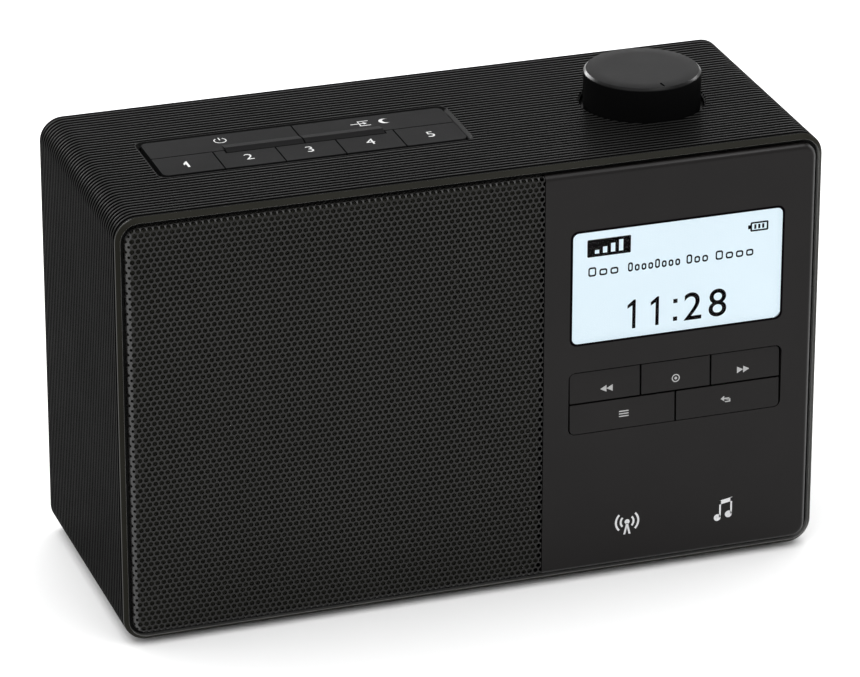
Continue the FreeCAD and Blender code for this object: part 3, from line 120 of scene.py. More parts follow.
def mix_colours(tree, factor, first, second, blend="MIX"):
    """Socket of a colour mix; each of the three may be a socket or a plain value."""
    node = tree.nodes.new("ShaderNodeMix")
    node.data_type = "RGBA"
    node.blend_type = blend
    for index, value in zip(MIX_INPUTS, (factor, first, second)):
        if isinstance(value, bpy.types.NodeSocket):
            tree.links.new(value, node.inputs[index])
        else:
            node.inputs[index].default_value = value
    return node.outputs[MIX_RESULT]


def noise(tree, scale, detail=3.0, stretch=(1, 1, 1)):
    """Noise in the piece's own metres; scale is in patches per metre."""
    mapping = tree.nodes.new("ShaderNodeMapping")
    mapping.inputs["Scale"].default_value = stretch
    texture = tree.nodes.new("ShaderNodeTexNoise")
    texture.inputs["Scale"].default_value = scale
    texture.inputs["Detail"].default_value = detail
    tree.links.new(coordinates(tree), mapping.inputs["Vector"])
    tree.links.new(mapping.outputs["Vector"], texture.inputs["Vector"])
    return texture.outputs["Fac"]


def spread(tree, value, low, high):
    """Maps a noise, mostly 0.3 to 0.7, onto low to high."""
    node = tree.nodes.new("ShaderNodeMapRange")
    node.inputs["From Min"].default_value = 0.3
    node.inputs["From Max"].default_value = 0.7
    node.inputs["To Min"].default_value = low
    node.inputs["To Max"].default_value = high
    tree.links.new(value, node.inputs["Value"])
    return node.outputs["Result"]


def tint(tree, shader, value, dark, light):
    """Colour that wanders between two shades."""
    tree.links.new(mix_colours(tree, value, (*dark, 1), (*light, 1)),
                   shader.inputs["Base Color"])


def bump(tree, shader, value, height):
    node = tree.nodes.new("ShaderNodeBump")
    node.inputs["Strength"].default_value = 1.0
    node.inputs["Distance"].default_value = height
    tree.links.new(value, node.inputs["Height"])
    tree.links.new(node.outputs["Normal"], shader.inputs["Normal"])


def moulded(name, colour, roughness, specular=0.4, grain=9000, height=0.012 * MM):
    """Moulded plastic: spark-eroded grain, slightly uneven gloss and colour."""
    material, tree, shader = new_material(name, colour, roughness, specular=specular)
    clouds = spread(tree, noise(tree, CLOUDS), 0, 1)
    tint(tree, shader, clouds, scaled(colour, 0.88), scaled(colour, 1.12))
    gloss = spread(tree, noise(tree, GLOSS_PATCHES), roughness * 0.93, roughness * 1.07)
    tree.links.new(gloss, shader.inputs["Roughness"])
    bump(tree, shader, noise(tree, grain, detail=2), height)
    return material


def painted_highlight_roll(material, direction, colour, start, end):
    """Painted highlight: makes the colour lighter where the surface turns towards that direction.
    """
    tree = material.node_tree
    shader = tree.nodes["Principled BSDF"]
    plain = shader.inputs["Base Color"].links[0].from_socket
    along = tree.nodes.new("ShaderNodeVectorMath")
    along.operation = "DOT_PRODUCT"
    along.inputs[1].default_value = direction
    tree.links.new(coordinates(tree, "Normal"), along.inputs[0])
    turn = tree.nodes.new("ShaderNodeMapRange")
    turn.inputs["From Min"].default_value = start
    turn.inputs["From Max"].default_value = end
    tree.links.new(along.outputs["Value"], turn.inputs["Value"])
    lighter = mix_colours(tree, turn.outputs["Result"], plain, (*colour, 1))
    tree.links.new(lighter, shader.inputs["Base Color"])


def metal(name, colour, roughness, stretch=(1, 1, 1), scale=1500, height=0.004 * MM):
    """Metal with fine brushed or drawn lines."""
    material, tree, shader = new_material(name, colour, roughness, metallic=1.0)
    lines = noise(tree, scale, detail=4, stretch=stretch)
    tint(tree, shader, spread(tree, lines, 0, 1), scaled(colour, 0.85), colour)
    tree.links.new(spread(tree, lines, roughness * 0.8, roughness * 1.25),
                   shader.inputs["Roughness"])
    bump(tree, shader, lines, height)
    return material


def lit_display():
    """Backlit display: cool white, slightly uneven, with faint dot rows."""
    lit, between = (0.75, 0.895, 0.98, 1), (0.725, 0.865, 0.95, 1)
    dot_pitch = 0.56 * MM
    material, tree, shader = new_material("lit_display", (0.02, 0.02, 0.02), 0.5)
    cloud = spread(tree, noise(tree, 18), 0.965, 1.0)
    dots = tree.nodes.new("ShaderNodeTexBrick")
    dots.offset = 0
    dots.inputs["Scale"].default_value = 1 / dot_pitch
    dots.inputs["Brick Width"].default_value = 1.0
    dots.inputs["Row Height"].default_value = 1.0
    dots.inputs["Mortar Size"].default_value = 0.06
    dots.inputs["Color1"].default_value = lit
    dots.inputs["Color2"].default_value = lit
    dots.inputs["Mortar"].default_value = between
    turn = tree.nodes.new("ShaderNodeMapping")
    turn.inputs["Rotation"].default_value = (QUARTER, 0, 0)
    tree.links.new(coordinates(tree), turn.inputs["Vector"])
    tree.links.new(turn.outputs["Vector"], dots.inputs["Vector"])
    shade = mix_colours(tree, 1, dots.outputs["Color"], cloud, blend="MULTIPLY")
    tree.links.new(shade, shader.inputs["Emission Color"])
    shader.inputs["Emission Strength"].default_value = 0.96
    return material


def clear_window():
    """Clear front of the display: it passes what is behind and only reflects."""
    material, tree, shader = new_material("clear_window", (1, 1, 1), 0.02, specular=0.1)
    shader.inputs["Transmission Weight"].default_value = 1.0
    shader.inputs["IOR"].default_value = 1.1
    tree.links.new(spread(tree, noise(tree, 60), 0.0, 0.02), shader.inputs["Roughness"])
    return material


def circuit_green():
    """Coated board with slightly raised tracks."""
    material, tree, shader = new_material("circuit_green", (0.02, 0.12, 0.05), 0.35)
    tracks = noise(tree, 420, detail=0, stretch=(1, 0.15, 1))
    tint(tree, shader, spread(tree, tracks, 0, 1), (0.012, 0.085, 0.035), (0.03, 0.16, 0.07))
    bump(tree, shader, tracks, 0.02 * MM)
    return material


def woven(name, colour, pitch=0.4 * MM, height=0.05 * MM):
    """Fine woven or pressed fibre."""
    material, tree, shader = new_material(name, colour, 0.9, specular=0.15)
    fibres = tree.nodes.new("ShaderNodeTexVoronoi")
    fibres.inputs["Scale"].default_value = 1 / pitch
    tree.links.new(coordinates(tree), fibres.inputs["Vector"])
    tint(tree, shader, fibres.outputs["Distance"], colour, scaled(colour, 1.6))
    bump(tree, shader, fibres.outputs["Distance"], height)
    return material


PANEL_FINISH = {"colour": (0.0062, 0.0054, 0.0053), "roughness": 0.3, "specular": 0.155,
                "grain": 14000, "height": 0.006 * MM}
MATERIALS = {
    "black_plastic": moulded("ribbed_black", (0.0115, 0.0115, 0.0112), 0.3, specular=0.0021),
    "panel_plastic": moulded("panel_black", **PANEL_FINISH),
    "key_plastic": moulded("key_black", (0.009, 0.009, 0.0092), 0.34, specular=0.0013,
                           grain=12000),
    "knob_plastic": moulded("knob_black", (0.0035, 0.0035, 0.0036), 0.32, specular=0.003,
                            grain=12000),
    "grille_steel": moulded("grille_coat", (0.0090, 0.0086, 0.0080), 0.36, specular=0.26,
                            grain=8000),
    "window_clear": clear_window(),
    "display_light": lit_display(),
    "white_plastic": moulded("white_plastic", (0.7, 0.7, 0.68), 0.4),
    "circuit_board": circuit_green(),
    "switch_plastic": moulded("switch_black", (0.03, 0.03, 0.03), 0.45),
    "steel": metal("zinc_steel", (0.55, 0.55, 0.56), 0.32, stretch=(1, 6, 1)),
    "screw_steel": metal("black_steel", (0.05, 0.05, 0.05), 0.38),
    "chrome_tube": metal("chrome_tube", (0.34, 0.34, 0.35), 0.2, stretch=(1, 25, 25),
                         height=0.001 * MM),
    "aluminium": metal("aluminium", (0.7, 0.7, 0.72), 0.35, stretch=(1, 12, 1)),
    "ferrite": moulded("ferrite", (0.035, 0.035, 0.04), 0.6, grain=3000, height=0.03 * MM),
    "paper_cone": woven("paper_cone", (0.02, 0.02, 0.02)),
    "rubber": moulded("rubber", (0.012, 0.012, 0.012), 0.8, specular=0.2, grain=4000),
    "copper_coil": metal("copper_coil", (0.6, 0.25, 0.1), 0.3, stretch=(1, 30, 1)),
    "battery_wrap": moulded("battery_sleeve", (0.05, 0.06, 0.07), 0.3, grain=2000),
    "lead_red": moulded("red_insulation", (0.35, 0.02, 0.015), 0.4),
}
PANEL_WITH_PAINTED_HIGHLIGHTS = moulded("panel_face_painted_highlight", **PANEL_FINISH)
# Painted highlight on the panel's rolled edges: lighter colour where they face right or down.
painted_highlight_roll(PANEL_WITH_PAINTED_HIGHLIGHTS, (1, 0, 0), (0.07, 0.07, 0.07), 0.25, 0.7)
painted_highlight_roll(PANEL_WITH_PAINTED_HIGHLIGHTS, (0, 0, -1), (0.04, 0.04, 0.04), 0.3, 0.9)
# Painted highlight: a lighter, glossier copy of the grille coat for the left-facing faces of its
# rolled edge.
GRILLE_ROLL_PAINTED_HIGHLIGHT = moulded("grille_roll_painted_highlight", (0.02, 0.02, 0.02), 0.34, specular=0.55, grain=8000)
# Painted shade: near-black for the ribs' grooves and for parts seen only through gaps.
PAINTED_SHADE_BLACK = moulded("painted_shade_black", (0.001, 0.001, 0.001), 0.4, specular=0.002)
REAR_BLACK = moulded("rear_black", (0.015, 0.015, 0.0148), 0.4, specular=0.2, grain=5000,
                     height=0.02 * MM)
# Painted light: the knob's flat top gets a lighter colour than its sides.
KNOB_TOP_PAINTED_LIGHT = moulded("knob_top_painted_light", (0.0115, 0.0115, 0.0117), 0.34, specular=0.0022, grain=12000)
RIM_BLACK = moulded("rim_satin", (0.0125, 0.0122, 0.0095), 0.34, specular=0.02, grain=12000,
                    height=0.006 * MM)
# Painted highlight for the rim's widest edge, on the left side only: glossier and a little paler.
RIM_EDGE_PAINTED_HIGHLIGHT = moulded("rim_edge_painted_highlight", (0.015, 0.015, 0.0125), 0.3, specular=0.5, grain=12000,
                   height=0.006 * MM)
# Painted light: a much paler colour for the rim's inner side, which shows in the gap round the
# front panel.
RIM_INSIDE_PAINTED_LIGHT = moulded("rim_inside_painted_light", (0.2, 0.2, 0.195), 0.5, specular=0.2, grain=9000)
CUT_BLACK = moulded("cut_edge_black", (0.005, 0.005, 0.005), 0.28, specular=0.003, grain=12000,
                    height=0.006 * MM)
CHAMFER_BLACK = moulded("chamfer_black", (0.006, 0.006, 0.006), 0.28, specular=0.06, grain=12000,
                        height=0.006 * MM)
GRILLE_CLOTH = woven("grille_cloth", (0.02, 0.02, 0.016), pitch=0.3 * MM)
LEGEND_GREY = moulded("legend_grey", (0.34, 0.34, 0.34), 0.5, grain=6000)
LEGEND_FAINT = moulded("legend_faint", (0.24, 0.24, 0.24), 0.5, grain=6000)
LEGEND_WHITE = moulded("legend_white", (0.6, 0.6, 0.61), 0.5, grain=6000)
DISPLAY_INK = moulded("display_ink", (0.002, 0.0015, 0.002), 0.6, specular=0, grain=5000,
                      height=0.002 * MM)


# ---------------------------------------------------------------- pieces
def add_piece(name, mesh, body, slot, material, *replaced):
    """Puts a mesh in the scene as a piece of that body; with no material it keeps its own."""
    obj = bpy.data.objects.new(name, mesh)
    bpy.context.scene.collection.objects.link(obj)
    if material:
        obj.data.materials.clear()
        obj.data.materials.append(material)
    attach(obj, body)
    if replaced:
        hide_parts(*replaced)
    return obj


def smooth(mesh, degrees=35):
    """Smooth shading, with edges sharper than the angle kept crisp."""
    mesh.polygons.foreach_set("use_smooth", [True] * len(mesh.polygons))
    mesh.set_sharp_from_angle(angle=math.radians(degrees))


def mesh_from(name, points, faces, degrees=35):
    """Checked and smoothed mesh."""
    mesh = bpy.data.meshes.new(name)
    mesh.from_pydata(points, [], faces)
    mesh.validate()
    smooth(mesh, degrees)
    return mesh


def applied(obj):
    """Mesh of an object with its modifiers applied; the object itself goes."""
    shown = obj.evaluated_get(bpy.context.evaluated_depsgraph_get())
    mesh = bpy.data.meshes.new_from_object(shown)
    bpy.data.objects.remove(obj)
    return mesh


def loose_object(name, mesh):
    """Helper object for building only."""
    obj = bpy.data.objects.new(name, mesh)
    bpy.context.scene.collection.objects.link(obj)
    return obj


def turned_mesh(name, profile, centre, axis="Z", steps=96, degrees=35):
    """Solid of revolution from (radius, height) points, round a line through centre."""
    points, faces = [], []
    for step in range(steps):
        angle = 2 * math.pi * step / steps
        for radius, height in profile:
            across = (radius * math.cos(angle), radius * math.sin(angle))
            if axis == "Z":
                points.append((centre[0] + across[0], centre[1] + across[1], height))
            elif axis == "Y":
                points.append((centre[0] + across[0], height, centre[2] - across[1]))
            else:
                points.append((height, centre[1] + across[0], centre[2] + across[1]))
    count = len(profile)
    for step in range(steps):
        here, there = step * count, (step + 1) % steps * count
        for index in range(count):
            after = (index + 1) % count
            faces.append((here + index, there + index, there + after, here + after))
    mesh = mesh_from(name, points, faces, degrees)
    tidy = bmesh.new()
    tidy.from_mesh(mesh)
    bmesh.ops.remove_doubles(tidy, verts=tidy.verts, dist=1e-7)
    bmesh.ops.recalc_face_normals(tidy, faces=tidy.faces)
    tidy.to_mesh(mesh)
    tidy.free()
    smooth(mesh, degrees)
    return mesh


def round_outline(left, right, low, high, corner, steps=12, top_stops=()):
    """Closed outline of a round-cornered rectangle, from its low right corner, anticlockwise."""
    corner = max(corner, 1e-6)
    centres = ((right - corner, low + corner, -QUARTER), (right - corner, high - corner, 0),
               (left + corner, high - corner, QUARTER), (left + corner, low + corner, math.pi))
    outline = []
    for x, z, start in centres:
        for step in range(steps + 1):
            angle = start + QUARTER * step / steps
            outline.append((x + corner * math.cos(angle), z + corner * math.sin(angle)))
        if start == 0:
            outline += [(stop, high) for stop in sorted(top_stops, reverse=True)]
    return outline


def bridge(rings, closed):
    """Quads between rings of equal length, and from the last ring to the first if closed."""
    count = len(rings[0])
    points = [point for ring in rings for point in ring]
    faces = []
    for index in range(len(rings) if closed else len(rings) - 1):
        here, there = index * count, (index + 1) % len(rings) * count
        for step in range(count):
            after = (step + 1) % count
            faces.append((here + step, here + after, there + after, there + step))
    return points, faces


def cut_away(mesh, cutters):
    """Mesh less the cutters' meshes."""
    base = loose_object("base", mesh)
    tools = [loose_object("cutter", cutter) for cutter in cutters]
    for tool in tools:
        modifier = base.modifiers.new("cut", "BOOLEAN")
        modifier.operation = "DIFFERENCE"
        modifier.solver = "EXACT"
        modifier.material_mode = "TRANSFER"
        modifier.object = tool
    result = applied(base)
    for tool in tools:
        bpy.data.objects.remove(tool)
    return result


# ---------------------------------------------------------------- cabinet
def rib_profile():
    """(inset, y) points of the outside of the sleeve, from the back to the front."""
    first_groove = REAR_Y - 1.06 * MM
    # (part of a pitch from the groove's middle, part of its full depth)
    half_groove = ((0.305, 0), (0.280, 0.04), (0.262, 0.16), (0.242, 0.80), (0.215, 0.96),
                   (0.14, 1.0))
    groove = half_groove + tuple((-place, depth) for place, depth in reversed(half_groove))
    profile = [(0.35 * MM, REAR_Y), (0.1 * MM, REAR_Y - 0.1 * MM), (0, REAR_Y - 0.3 * MM)]
    for index in range(RIB_COUNT + 1):
        middle = first_groove - index * RIB_PITCH
        for place, depth in groove:
            profile.append((depth * RIB_DEPTH, middle + place * RIB_PITCH))
        if index < RIB_COUNT:
            profile.append((0, middle - 0.5 * RIB_PITCH))
    return profile


def sleeve_profile():
    """Whole closed section of the ribbed wall as (inset, y)."""
    ribs_end = FRONT_Y + RIM_SHOULDER + RIM_STEP
    return rib_profile() + [(0.30 * MM, ribs_end), (CAB_WALL, ribs_end), (CAB_WALL, REAR_Y),
                            (0.6 * MM, REAR_Y)]


def rim_profile():
    """Closed section of the smooth rim in front of the ribs as (inset, y)."""
    shoulder_y = FRONT_Y + RIM_SHOULDER
    step_y = shoulder_y + RIM_STEP
    return [(RIM_WALL, LEDGE_Y), (0.6 * MM, LEDGE_Y), (0.6 * MM, step_y), (0.30 * MM, step_y),
            (0.05 * MM, shoulder_y + 0.14 * MM), (0.0, shoulder_y),
            (0.05 * MM, shoulder_y - 0.16 * MM), (0.16 * MM, shoulder_y - 0.32 * MM),
            (1.30 * MM, FRONT_Y + 0.18 * MM), (1.42 * MM, FRONT_Y + 0.06 * MM),
            (1.50 * MM, FRONT_Y), (1.58 * MM, FRONT_Y + 0.08 * MM),
            (RIM_WALL, FRONT_Y + 0.3 * MM)]


def swept_round(profile, name, stops=()):
    """Mesh of a section carried round the cabinet's outline."""
    rings = []
    for inset, y in profile:
        outline = round_outline(CAB_LOW.x + inset, CAB_HIGH.x - inset, CAB_LOW.z + inset,
                                CAB_HIGH.z - inset, CAB_CORNER - inset, top_stops=stops)
        rings.append([(x, y, z) for x, z in outline])
    return mesh_from(name, *bridge(rings, closed=True))


def opening_rings(sections):
    """Outlines of the top keys' opening, each (grown by, height)."""
    rings = []
    for grow, z in sections:
        outline = round_outline(KEYS_LOW[0] - grow, KEYS_HIGH[0] + grow, KEYS_LOW[1] - grow,
                                KEYS_HIGH[1] + grow, KEYS_CORNER + grow)
        rings.append([(x, y, z) for x, y in outline])
    return rings


def opening_cutter():
    """Round-cornered prism that flares outwards at the cabinet's top."""
    rings = opening_rings(((-KEYS_BEVEL, TOP_Z - CUT_DEPTH), (-KEYS_BEVEL, TOP_Z - KEYS_BEVEL),
                           (0.0, TOP_Z), (0.4 * MM, TOP_Z + CUT_ABOVE)))
    points, faces = bridge(rings, closed=False)
    count = len(rings[0])
    last = len(points) - count
    faces.append(tuple(reversed(range(count))))
    faces.append(tuple(range(last, last + count)))
    return mesh_from("opening", points, faces)


def make_key_surround():
    """Smooth bevelled lip round the opening for the top keys, just under the ribs' crests."""
    clear = 0.02 * MM
    bevel = KEYS_BEVEL - clear
    width = 0.3 * MM
    rings = opening_rings(((-bevel, TOP_Z - bevel), (0, TOP_Z - clear), (width, TOP_Z - clear),
                           (width, TOP_Z - bevel), (-bevel, TOP_Z - 2 * bevel)))
    mesh = mesh_from("key_surround", *bridge(rings, closed=True))
    add_piece("key_surround", mesh, "cabinet", "black_plastic", CUT_BLACK)


def make_sleeve():
    """Ribbed wall, open for the top keys and the knob, with painted shade on the faces in its
    grooves.
    """
    top_stops = [step * 6 * MM for step in range(-18, 18)]
    profile = sleeve_profile()
    sleeve = swept_round(profile, "sleeve", top_stops)
    well = turned_mesh("well", [(0, TOP_Z - CUT_DEPTH), (WELL_RADIUS, TOP_Z - CUT_DEPTH),
                                (WELL_RADIUS, TOP_Z - 0.7 * MM),
                                (WELL_RADIUS + 0.5 * MM, TOP_Z - 0.25 * MM),
                                (WELL_RADIUS + 0.7 * MM, TOP_Z + CUT_ABOVE),
                                (0, TOP_Z + CUT_ABOVE)], (KNOB_X, KNOB_Y, 0), steps=128)
    around = len(sleeve.polygons) // len(profile)
    before_ribs, after_ribs = 2, len(rib_profile()) - 1
    for material in (MATERIALS["black_plastic"], PAINTED_SHADE_BLACK):
        sleeve.materials.append(material)
    # Faces in the grooves get the painted shade.
    for face in sleeve.polygons:
        segment = face.index // around
        deepest = max(profile[segment][0], profile[(segment + 1) % len(profile)][0])
        in_groove = deepest > 0.2 * RIB_DEPTH and before_ribs < segment < after_ribs
        face.material_index = int(in_groove)
    cutters = [opening_cutter(), well]
    for cutter in cutters:
        cutter.materials.append(CUT_BLACK)
    mesh = cut_away(sleeve, cutters)
    smooth(mesh, 40)
    add_piece("cabinet_sleeve", mesh, "cabinet", "black_plastic", None, "cabinet_shell")


def make_rim():
    """Smooth rim, with a painted highlight along the left's widest edge, glossier and a little
    paler, and painted light on its paler inner side.
    """
    rim = swept_round(rim_profile(), "rim")
    for material in (RIM_BLACK, RIM_EDGE_PAINTED_HIGHLIGHT, RIM_INSIDE_PAINTED_LIGHT):
        rim.materials.append(material)
    edge_from, edge_to = FRONT_Y + 1.28 * MM, FRONT_Y + 1.78 * MM
    for face in rim.polygons:
        outward = face.center - Vector((0, face.center.y, MID_Z))
        # Left-facing faces of the widest edge get the painted highlight; inward faces get the
        # painted light.
        if edge_from < face.center.y < edge_to and face.normal.x < -0.3:
            face.material_index = 1
        elif face.normal.dot(outward.normalized()) < -0.3:
            face.material_index = 2
    add_piece("cabinet_rim", rim, "cabinet", "black_plastic", None)


def make_knob_well():
    """Cup under the knob, with a bore for its shaft."""
    floor = TOP_Z - 2.5 * MM
    under = floor - 2.5 * MM
    bore, outside, lip_z = 3.6 * MM, 24 * MM, TOP_Z - 1.2 * MM
    cup = turned_mesh("cup", [(bore, floor), (WELL_RADIUS - 0.2 * MM, floor),
                              (WELL_RADIUS, floor + 0.2 * MM), (WELL_RADIUS, lip_z),
                              (outside, lip_z), (outside, under), (bore, under)],
                      (KNOB_X, KNOB_Y, 0), steps=128)
    add_piece("knob_well", cup, "cabinet", "black_plastic", CUT_BLACK)


def make_bosses():
    """Screw bosses in the corners and posts under the main board, as in the frame's shell."""
    plastic = MATERIALS["black_plastic"]
    boss_x, boss_inset, boss_gap = 113 * MM, 8 * MM, 29 * MM
    screw_bore, cover_thick = 1.5 * MM, 2.5 * MM
    cover_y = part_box("rear_cover")[1].y - cover_thick
    index = 0
    for start, end in ((LEDGE_Y, -boss_gap), (boss_gap, cover_y)):
        for x in (-boss_x, boss_x):
            for z in (CAB_LOW.z + boss_inset, CAB_HIGH.z - boss_inset):
                index += 1
                mesh = turned_mesh("boss", [(screw_bore, start), (4.6 * MM, start),
                                            (5 * MM, end), (screw_bore, end)],
                                   (x, 0, z), axis="Y", steps=32)
                add_piece(f"screw_boss_{index}", mesh, "cabinet", "black_plastic", plastic)
    board_low, board_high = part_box("main_board")
    post_inset, post_back, post_bore, foot = 4 * MM, 25 * MM, 1.1 * MM, CAB_LOW.z + 3 * MM
    for number, x in enumerate((board_low.x + post_inset, board_high.x - post_inset)):
        for side, y in enumerate((board_low.y + post_inset, post_back)):
            mesh = turned_mesh("post", [(post_bore, foot), (3.4 * MM, foot),
                                        (3.0 * MM, board_low.z), (post_bore, board_low.z)],
                               (x, y, 0), steps=32)
            add_piece(f"board_post_{2 * number + side + 1}", mesh, "cabinet", "black_plastic",
                      plastic)


# ---------------------------------------------------------------- speaker grille
HOLE_PITCH = 2.06 * MM
HOLE_RADIUS = 0.82 * MM
HOLE_SIDES = 12
ROW_PITCH = HOLE_PITCH * math.sqrt(3) / 2
ROLL_WIDTH = 1.3 * MM      # from the left edge; its holes are smaller
ROLL_HOLE_SHARE = 0.6
HALF_COLUMNS = 34
EXTRA_COLUMNS = 6


def rolled(x, z, depth):
    """Bends a flat sheet point round the grille's edge; depth is how far behind the face."""
    centre_x, centre_z = GRILLE_LOW.x + FRONT_CORNER, MID_Z
    half_z = (GRILLE_HIGH.z - GRILLE_LOW.z) / 2 - FRONT_CORNER
    near_x = max(x, centre_x)
    near_z = min(max(z, centre_z - half_z), centre_z + half_z)
    away = Vector((x - near_x, z - near_z))
    flat = FRONT_CORNER - EDGE_ROUND
    if away.length <= flat:
        return Vector((x, FACE_Y + depth, z))
    along = away.normalized()
    beyond = away.length - flat
    turn = min(beyond / EDGE_ROUND, QUARTER)
    tail = max(0.0, beyond - QUARTER * EDGE_ROUND)
    radius = EDGE_ROUND - depth
    out = flat + radius * math.sin(turn)
    back = EDGE_ROUND - radius * math.cos(turn) + tail
    return Vector((near_x + along.x * out, FACE_Y + back, near_z + along.y * out))


def grille_cells(column_from, column_to):
    """Centres of the holes between two columns, with the rows staggered by half a pitch."""
    turned_back = 1.6 * MM
    first_column = 0.55
    reach = EDGE_ROUND * (QUARTER - 1) + turned_back
    half_rows = int((GRILLE_HIGH.z - MID_Z + reach) / ROW_PITCH)
    cells = []
    for row in range(-half_rows, half_rows + 1):
        for column in range(column_from, column_to):
            x = GRILLE_HIGH.x + (first_column - column - (row % 2) / 2) * HOLE_PITCH
            if x > GRILLE_LOW.x - reach:
                cells.append((x, MID_Z + row * ROW_PITCH))
    return cells


def make_grille_part(name, column_from, column_to, replaced):
    """Perforated sheet: a hexagonal cell with a round hole, repeated, then rolled at the edges."""
    grid = bmesh.new()
    for x, z in grille_cells(column_from, column_to):
        outer, rim, inner = [], [], []
        in_roll = x < GRILLE_LOW.x + ROLL_WIDTH
        open_radius = HOLE_RADIUS * (ROLL_HOLE_SHARE if in_roll else 1)
        for step in range(HOLE_SIDES):
            angle = 2 * math.pi * step / HOLE_SIDES + math.pi / 6
            reach = HOLE_PITCH / math.sqrt(3) if step % 2 == 0 else HOLE_PITCH / 2
            for ring, radius in ((outer, reach), (rim, open_radius)):
                ring.append(grid.verts.new((x + radius * math.cos(angle), 0,
                                            z + radius * math.sin(angle))))
            inner.append(grid.verts.new((x + open_radius * math.cos(angle), SHEET_THICK,
                                         z + open_radius * math.sin(angle))))
        for step in range(HOLE_SIDES):
            after = (step + 1) % HOLE_SIDES
            grid.faces.new((outer[step], outer[after], rim[after], rim[step]))
            grid.faces.new((rim[step], rim[after], inner[after], inner[step]))
    bmesh.ops.remove_doubles(grid, verts=grid.verts, dist=0.02 * MM)
    everything = grid.verts[:] + grid.edges[:] + grid.faces[:]
    bmesh.ops.bisect_plane(grid, geom=everything, plane_co=(GRILLE_HIGH.x, 0, 0),
                           plane_no=(1, 0, 0), clear_outer=True)
    for vertex in grid.verts:
        vertex.co = rolled(vertex.co.x, vertex.co.z, vertex.co.y)
    bmesh.ops.recalc_face_normals(grid, faces=grid.faces)
    mesh = bpy.data.meshes.new(name)
    grid.to_mesh(mesh)
    grid.free()
    smooth(mesh, 50)
    mesh.materials.append(MATERIALS["grille_steel"])
    mesh.materials.append(GRILLE_ROLL_PAINTED_HIGHLIGHT)
    # Left-facing faces of the rolled left edge get the painted highlight.
    for face in mesh.polygons:
        at_left = face.center.x < GRILLE_LOW.x + EDGE_ROUND
        face.material_index = int(at_left and -0.95 < face.normal.x < -0.3)
    add_piece(name, mesh, "cabinet", "grille_steel", None, *replaced)


def make_grille_cloth():
    """Black cloth stretched behind the sheet, with its edge turned back."""
    side, end = 0.9 * MM, 0.4 * MM
    crown, front_y, back_y = 0.8 * MM, FACE_Y + 1.3 * MM, GRILLE_HIGH.y - 0.5 * MM
    outline = round_outline(GRILLE_LOW.x + side, GRILLE_HIGH.x - end,
                            GRILLE_LOW.z + side, GRILLE_HIGH.z - side, 4 * MM)
    middle_x = (GRILLE_LOW.x + GRILLE_HIGH.x) / 2
    rings = []
    for inset, y in ((0, back_y), (0, FACE_Y + 2.2 * MM), (crown, front_y)):
        shrink_x = 1 - inset / (GRILLE_HIGH.x - middle_x)
        shrink_z = 1 - inset / (GRILLE_HIGH.z - MID_Z)
        rings.append([(middle_x + (x - middle_x) * shrink_x, y, MID_Z + (z - MID_Z) * shrink_z)
                      for x, z in outline])
    points, faces = bridge(rings, closed=False)
    count = len(outline)
    faces.append(tuple(range(len(points) - count, len(points))))
    cloth = add_piece("grille_cloth", mesh_from("cloth", points, faces), "cabinet",
                      "paper_cone", GRILLE_CLOTH)


def make_grille():
    """The sheet in two halves, so that neither mesh is very large, and the cloth."""
    make_grille_part("grille_right_half", 0, HALF_COLUMNS, ("speaker_grille",))
    make_grille_part("grille_left_half", HALF_COLUMNS, 2 * HALF_COLUMNS + EXTRA_COLUMNS, ())
    make_grille_cloth()


# ---------------------------------------------------------------- flat marks and legends
def flat_mesh(loops):
    """Filled outline, in millimetres, with inner loops as holes, as a thin mesh in XY."""
    curve = bpy.data.curves.new("mark", "CURVE")
    curve.dimensions = "2D"
    curve.fill_mode = "BOTH"
    curve.extrude = MARK_THICK / 2
    for loop in loops:
        spline = curve.splines.new("POLY")
        spline.points.add(len(loop) - 1)
        for point, (x, y) in zip(spline.points, loop):
            point.co = (x * MM, y * MM, 0, 1)
        spline.use_cyclic_u = True
    return applied(loose_object("mark", curve))


def text_mesh(text, height, weight):
    """Figures of that height in millimetres, centred, in XY; weight swells their outline."""
    curve = bpy.data.curves.new("figure", "FONT")
    curve.body = text
    curve.align_x = "CENTER"
    curve.fill_mode = "BOTH"
    curve.extrude = MARK_THICK / 2
    curve.offset = weight
    curve.size = height * MM / FIGURE_SHARE
    mesh = applied(loose_object("figure", curve))
    lowest = min(vertex.co.y for vertex in mesh.vertices)
    highest = max(vertex.co.y for vertex in mesh.vertices)
    mesh.transform(Matrix.Translation((0, -(lowest + highest) / 2, 0)))
    return mesh


def lay(name, mesh, place, body, material, slot):
    """Places a flat mark's points with place(u, v, height above the surface)."""
    for vertex in mesh.vertices:
        vertex.co = place(*vertex.co)
    smooth(mesh, 30)
    add_piece(name, mesh, body, slot, material)


def on_panel(x, z):
    """Place on the flat front face."""
    lift = 0.015 * MM
    return lambda u, v, w: Vector((x * MM + u, FACE_Y - lift - w, z * MM + v))


def on_front_key(x, z):
    """Place on the front keys, whose faces lean back towards the top."""
    low_z, high_z, lean_back = 54.6, 76.6, 0.8
    lean = lean_back / (high_z - low_z)

    def place(u, v, w):
        height = z * MM + v
        depth = lean * (height - low_z * MM) - MARK_LIFT
        return Vector((x * MM + u, FACE_Y + depth - w, height))
    return place


def on_top_key(x, y):
    """Place on the flat faces of the top keys."""
    return lambda u, v, w: Vector((x * MM + u, y * MM + v, TOP_Z + MARK_LIFT + w))


def on_display(x, z):
    """Place between the lit display and its clear front, with the mark made thinner."""
    y, squeeze = WINDOW_HIGH.y + 0.01 * MM, 0.2
    return lambda u, v, w: Vector((x * MM + u, y + w * squeeze, z * MM + v))


def on_window(x, z):
    """Place on the clear front's outer face."""
    y = WINDOW_LOW.y - 0.015 * MM
    return lambda u, v, w: Vector((x * MM + u, y - w, z * MM + v))


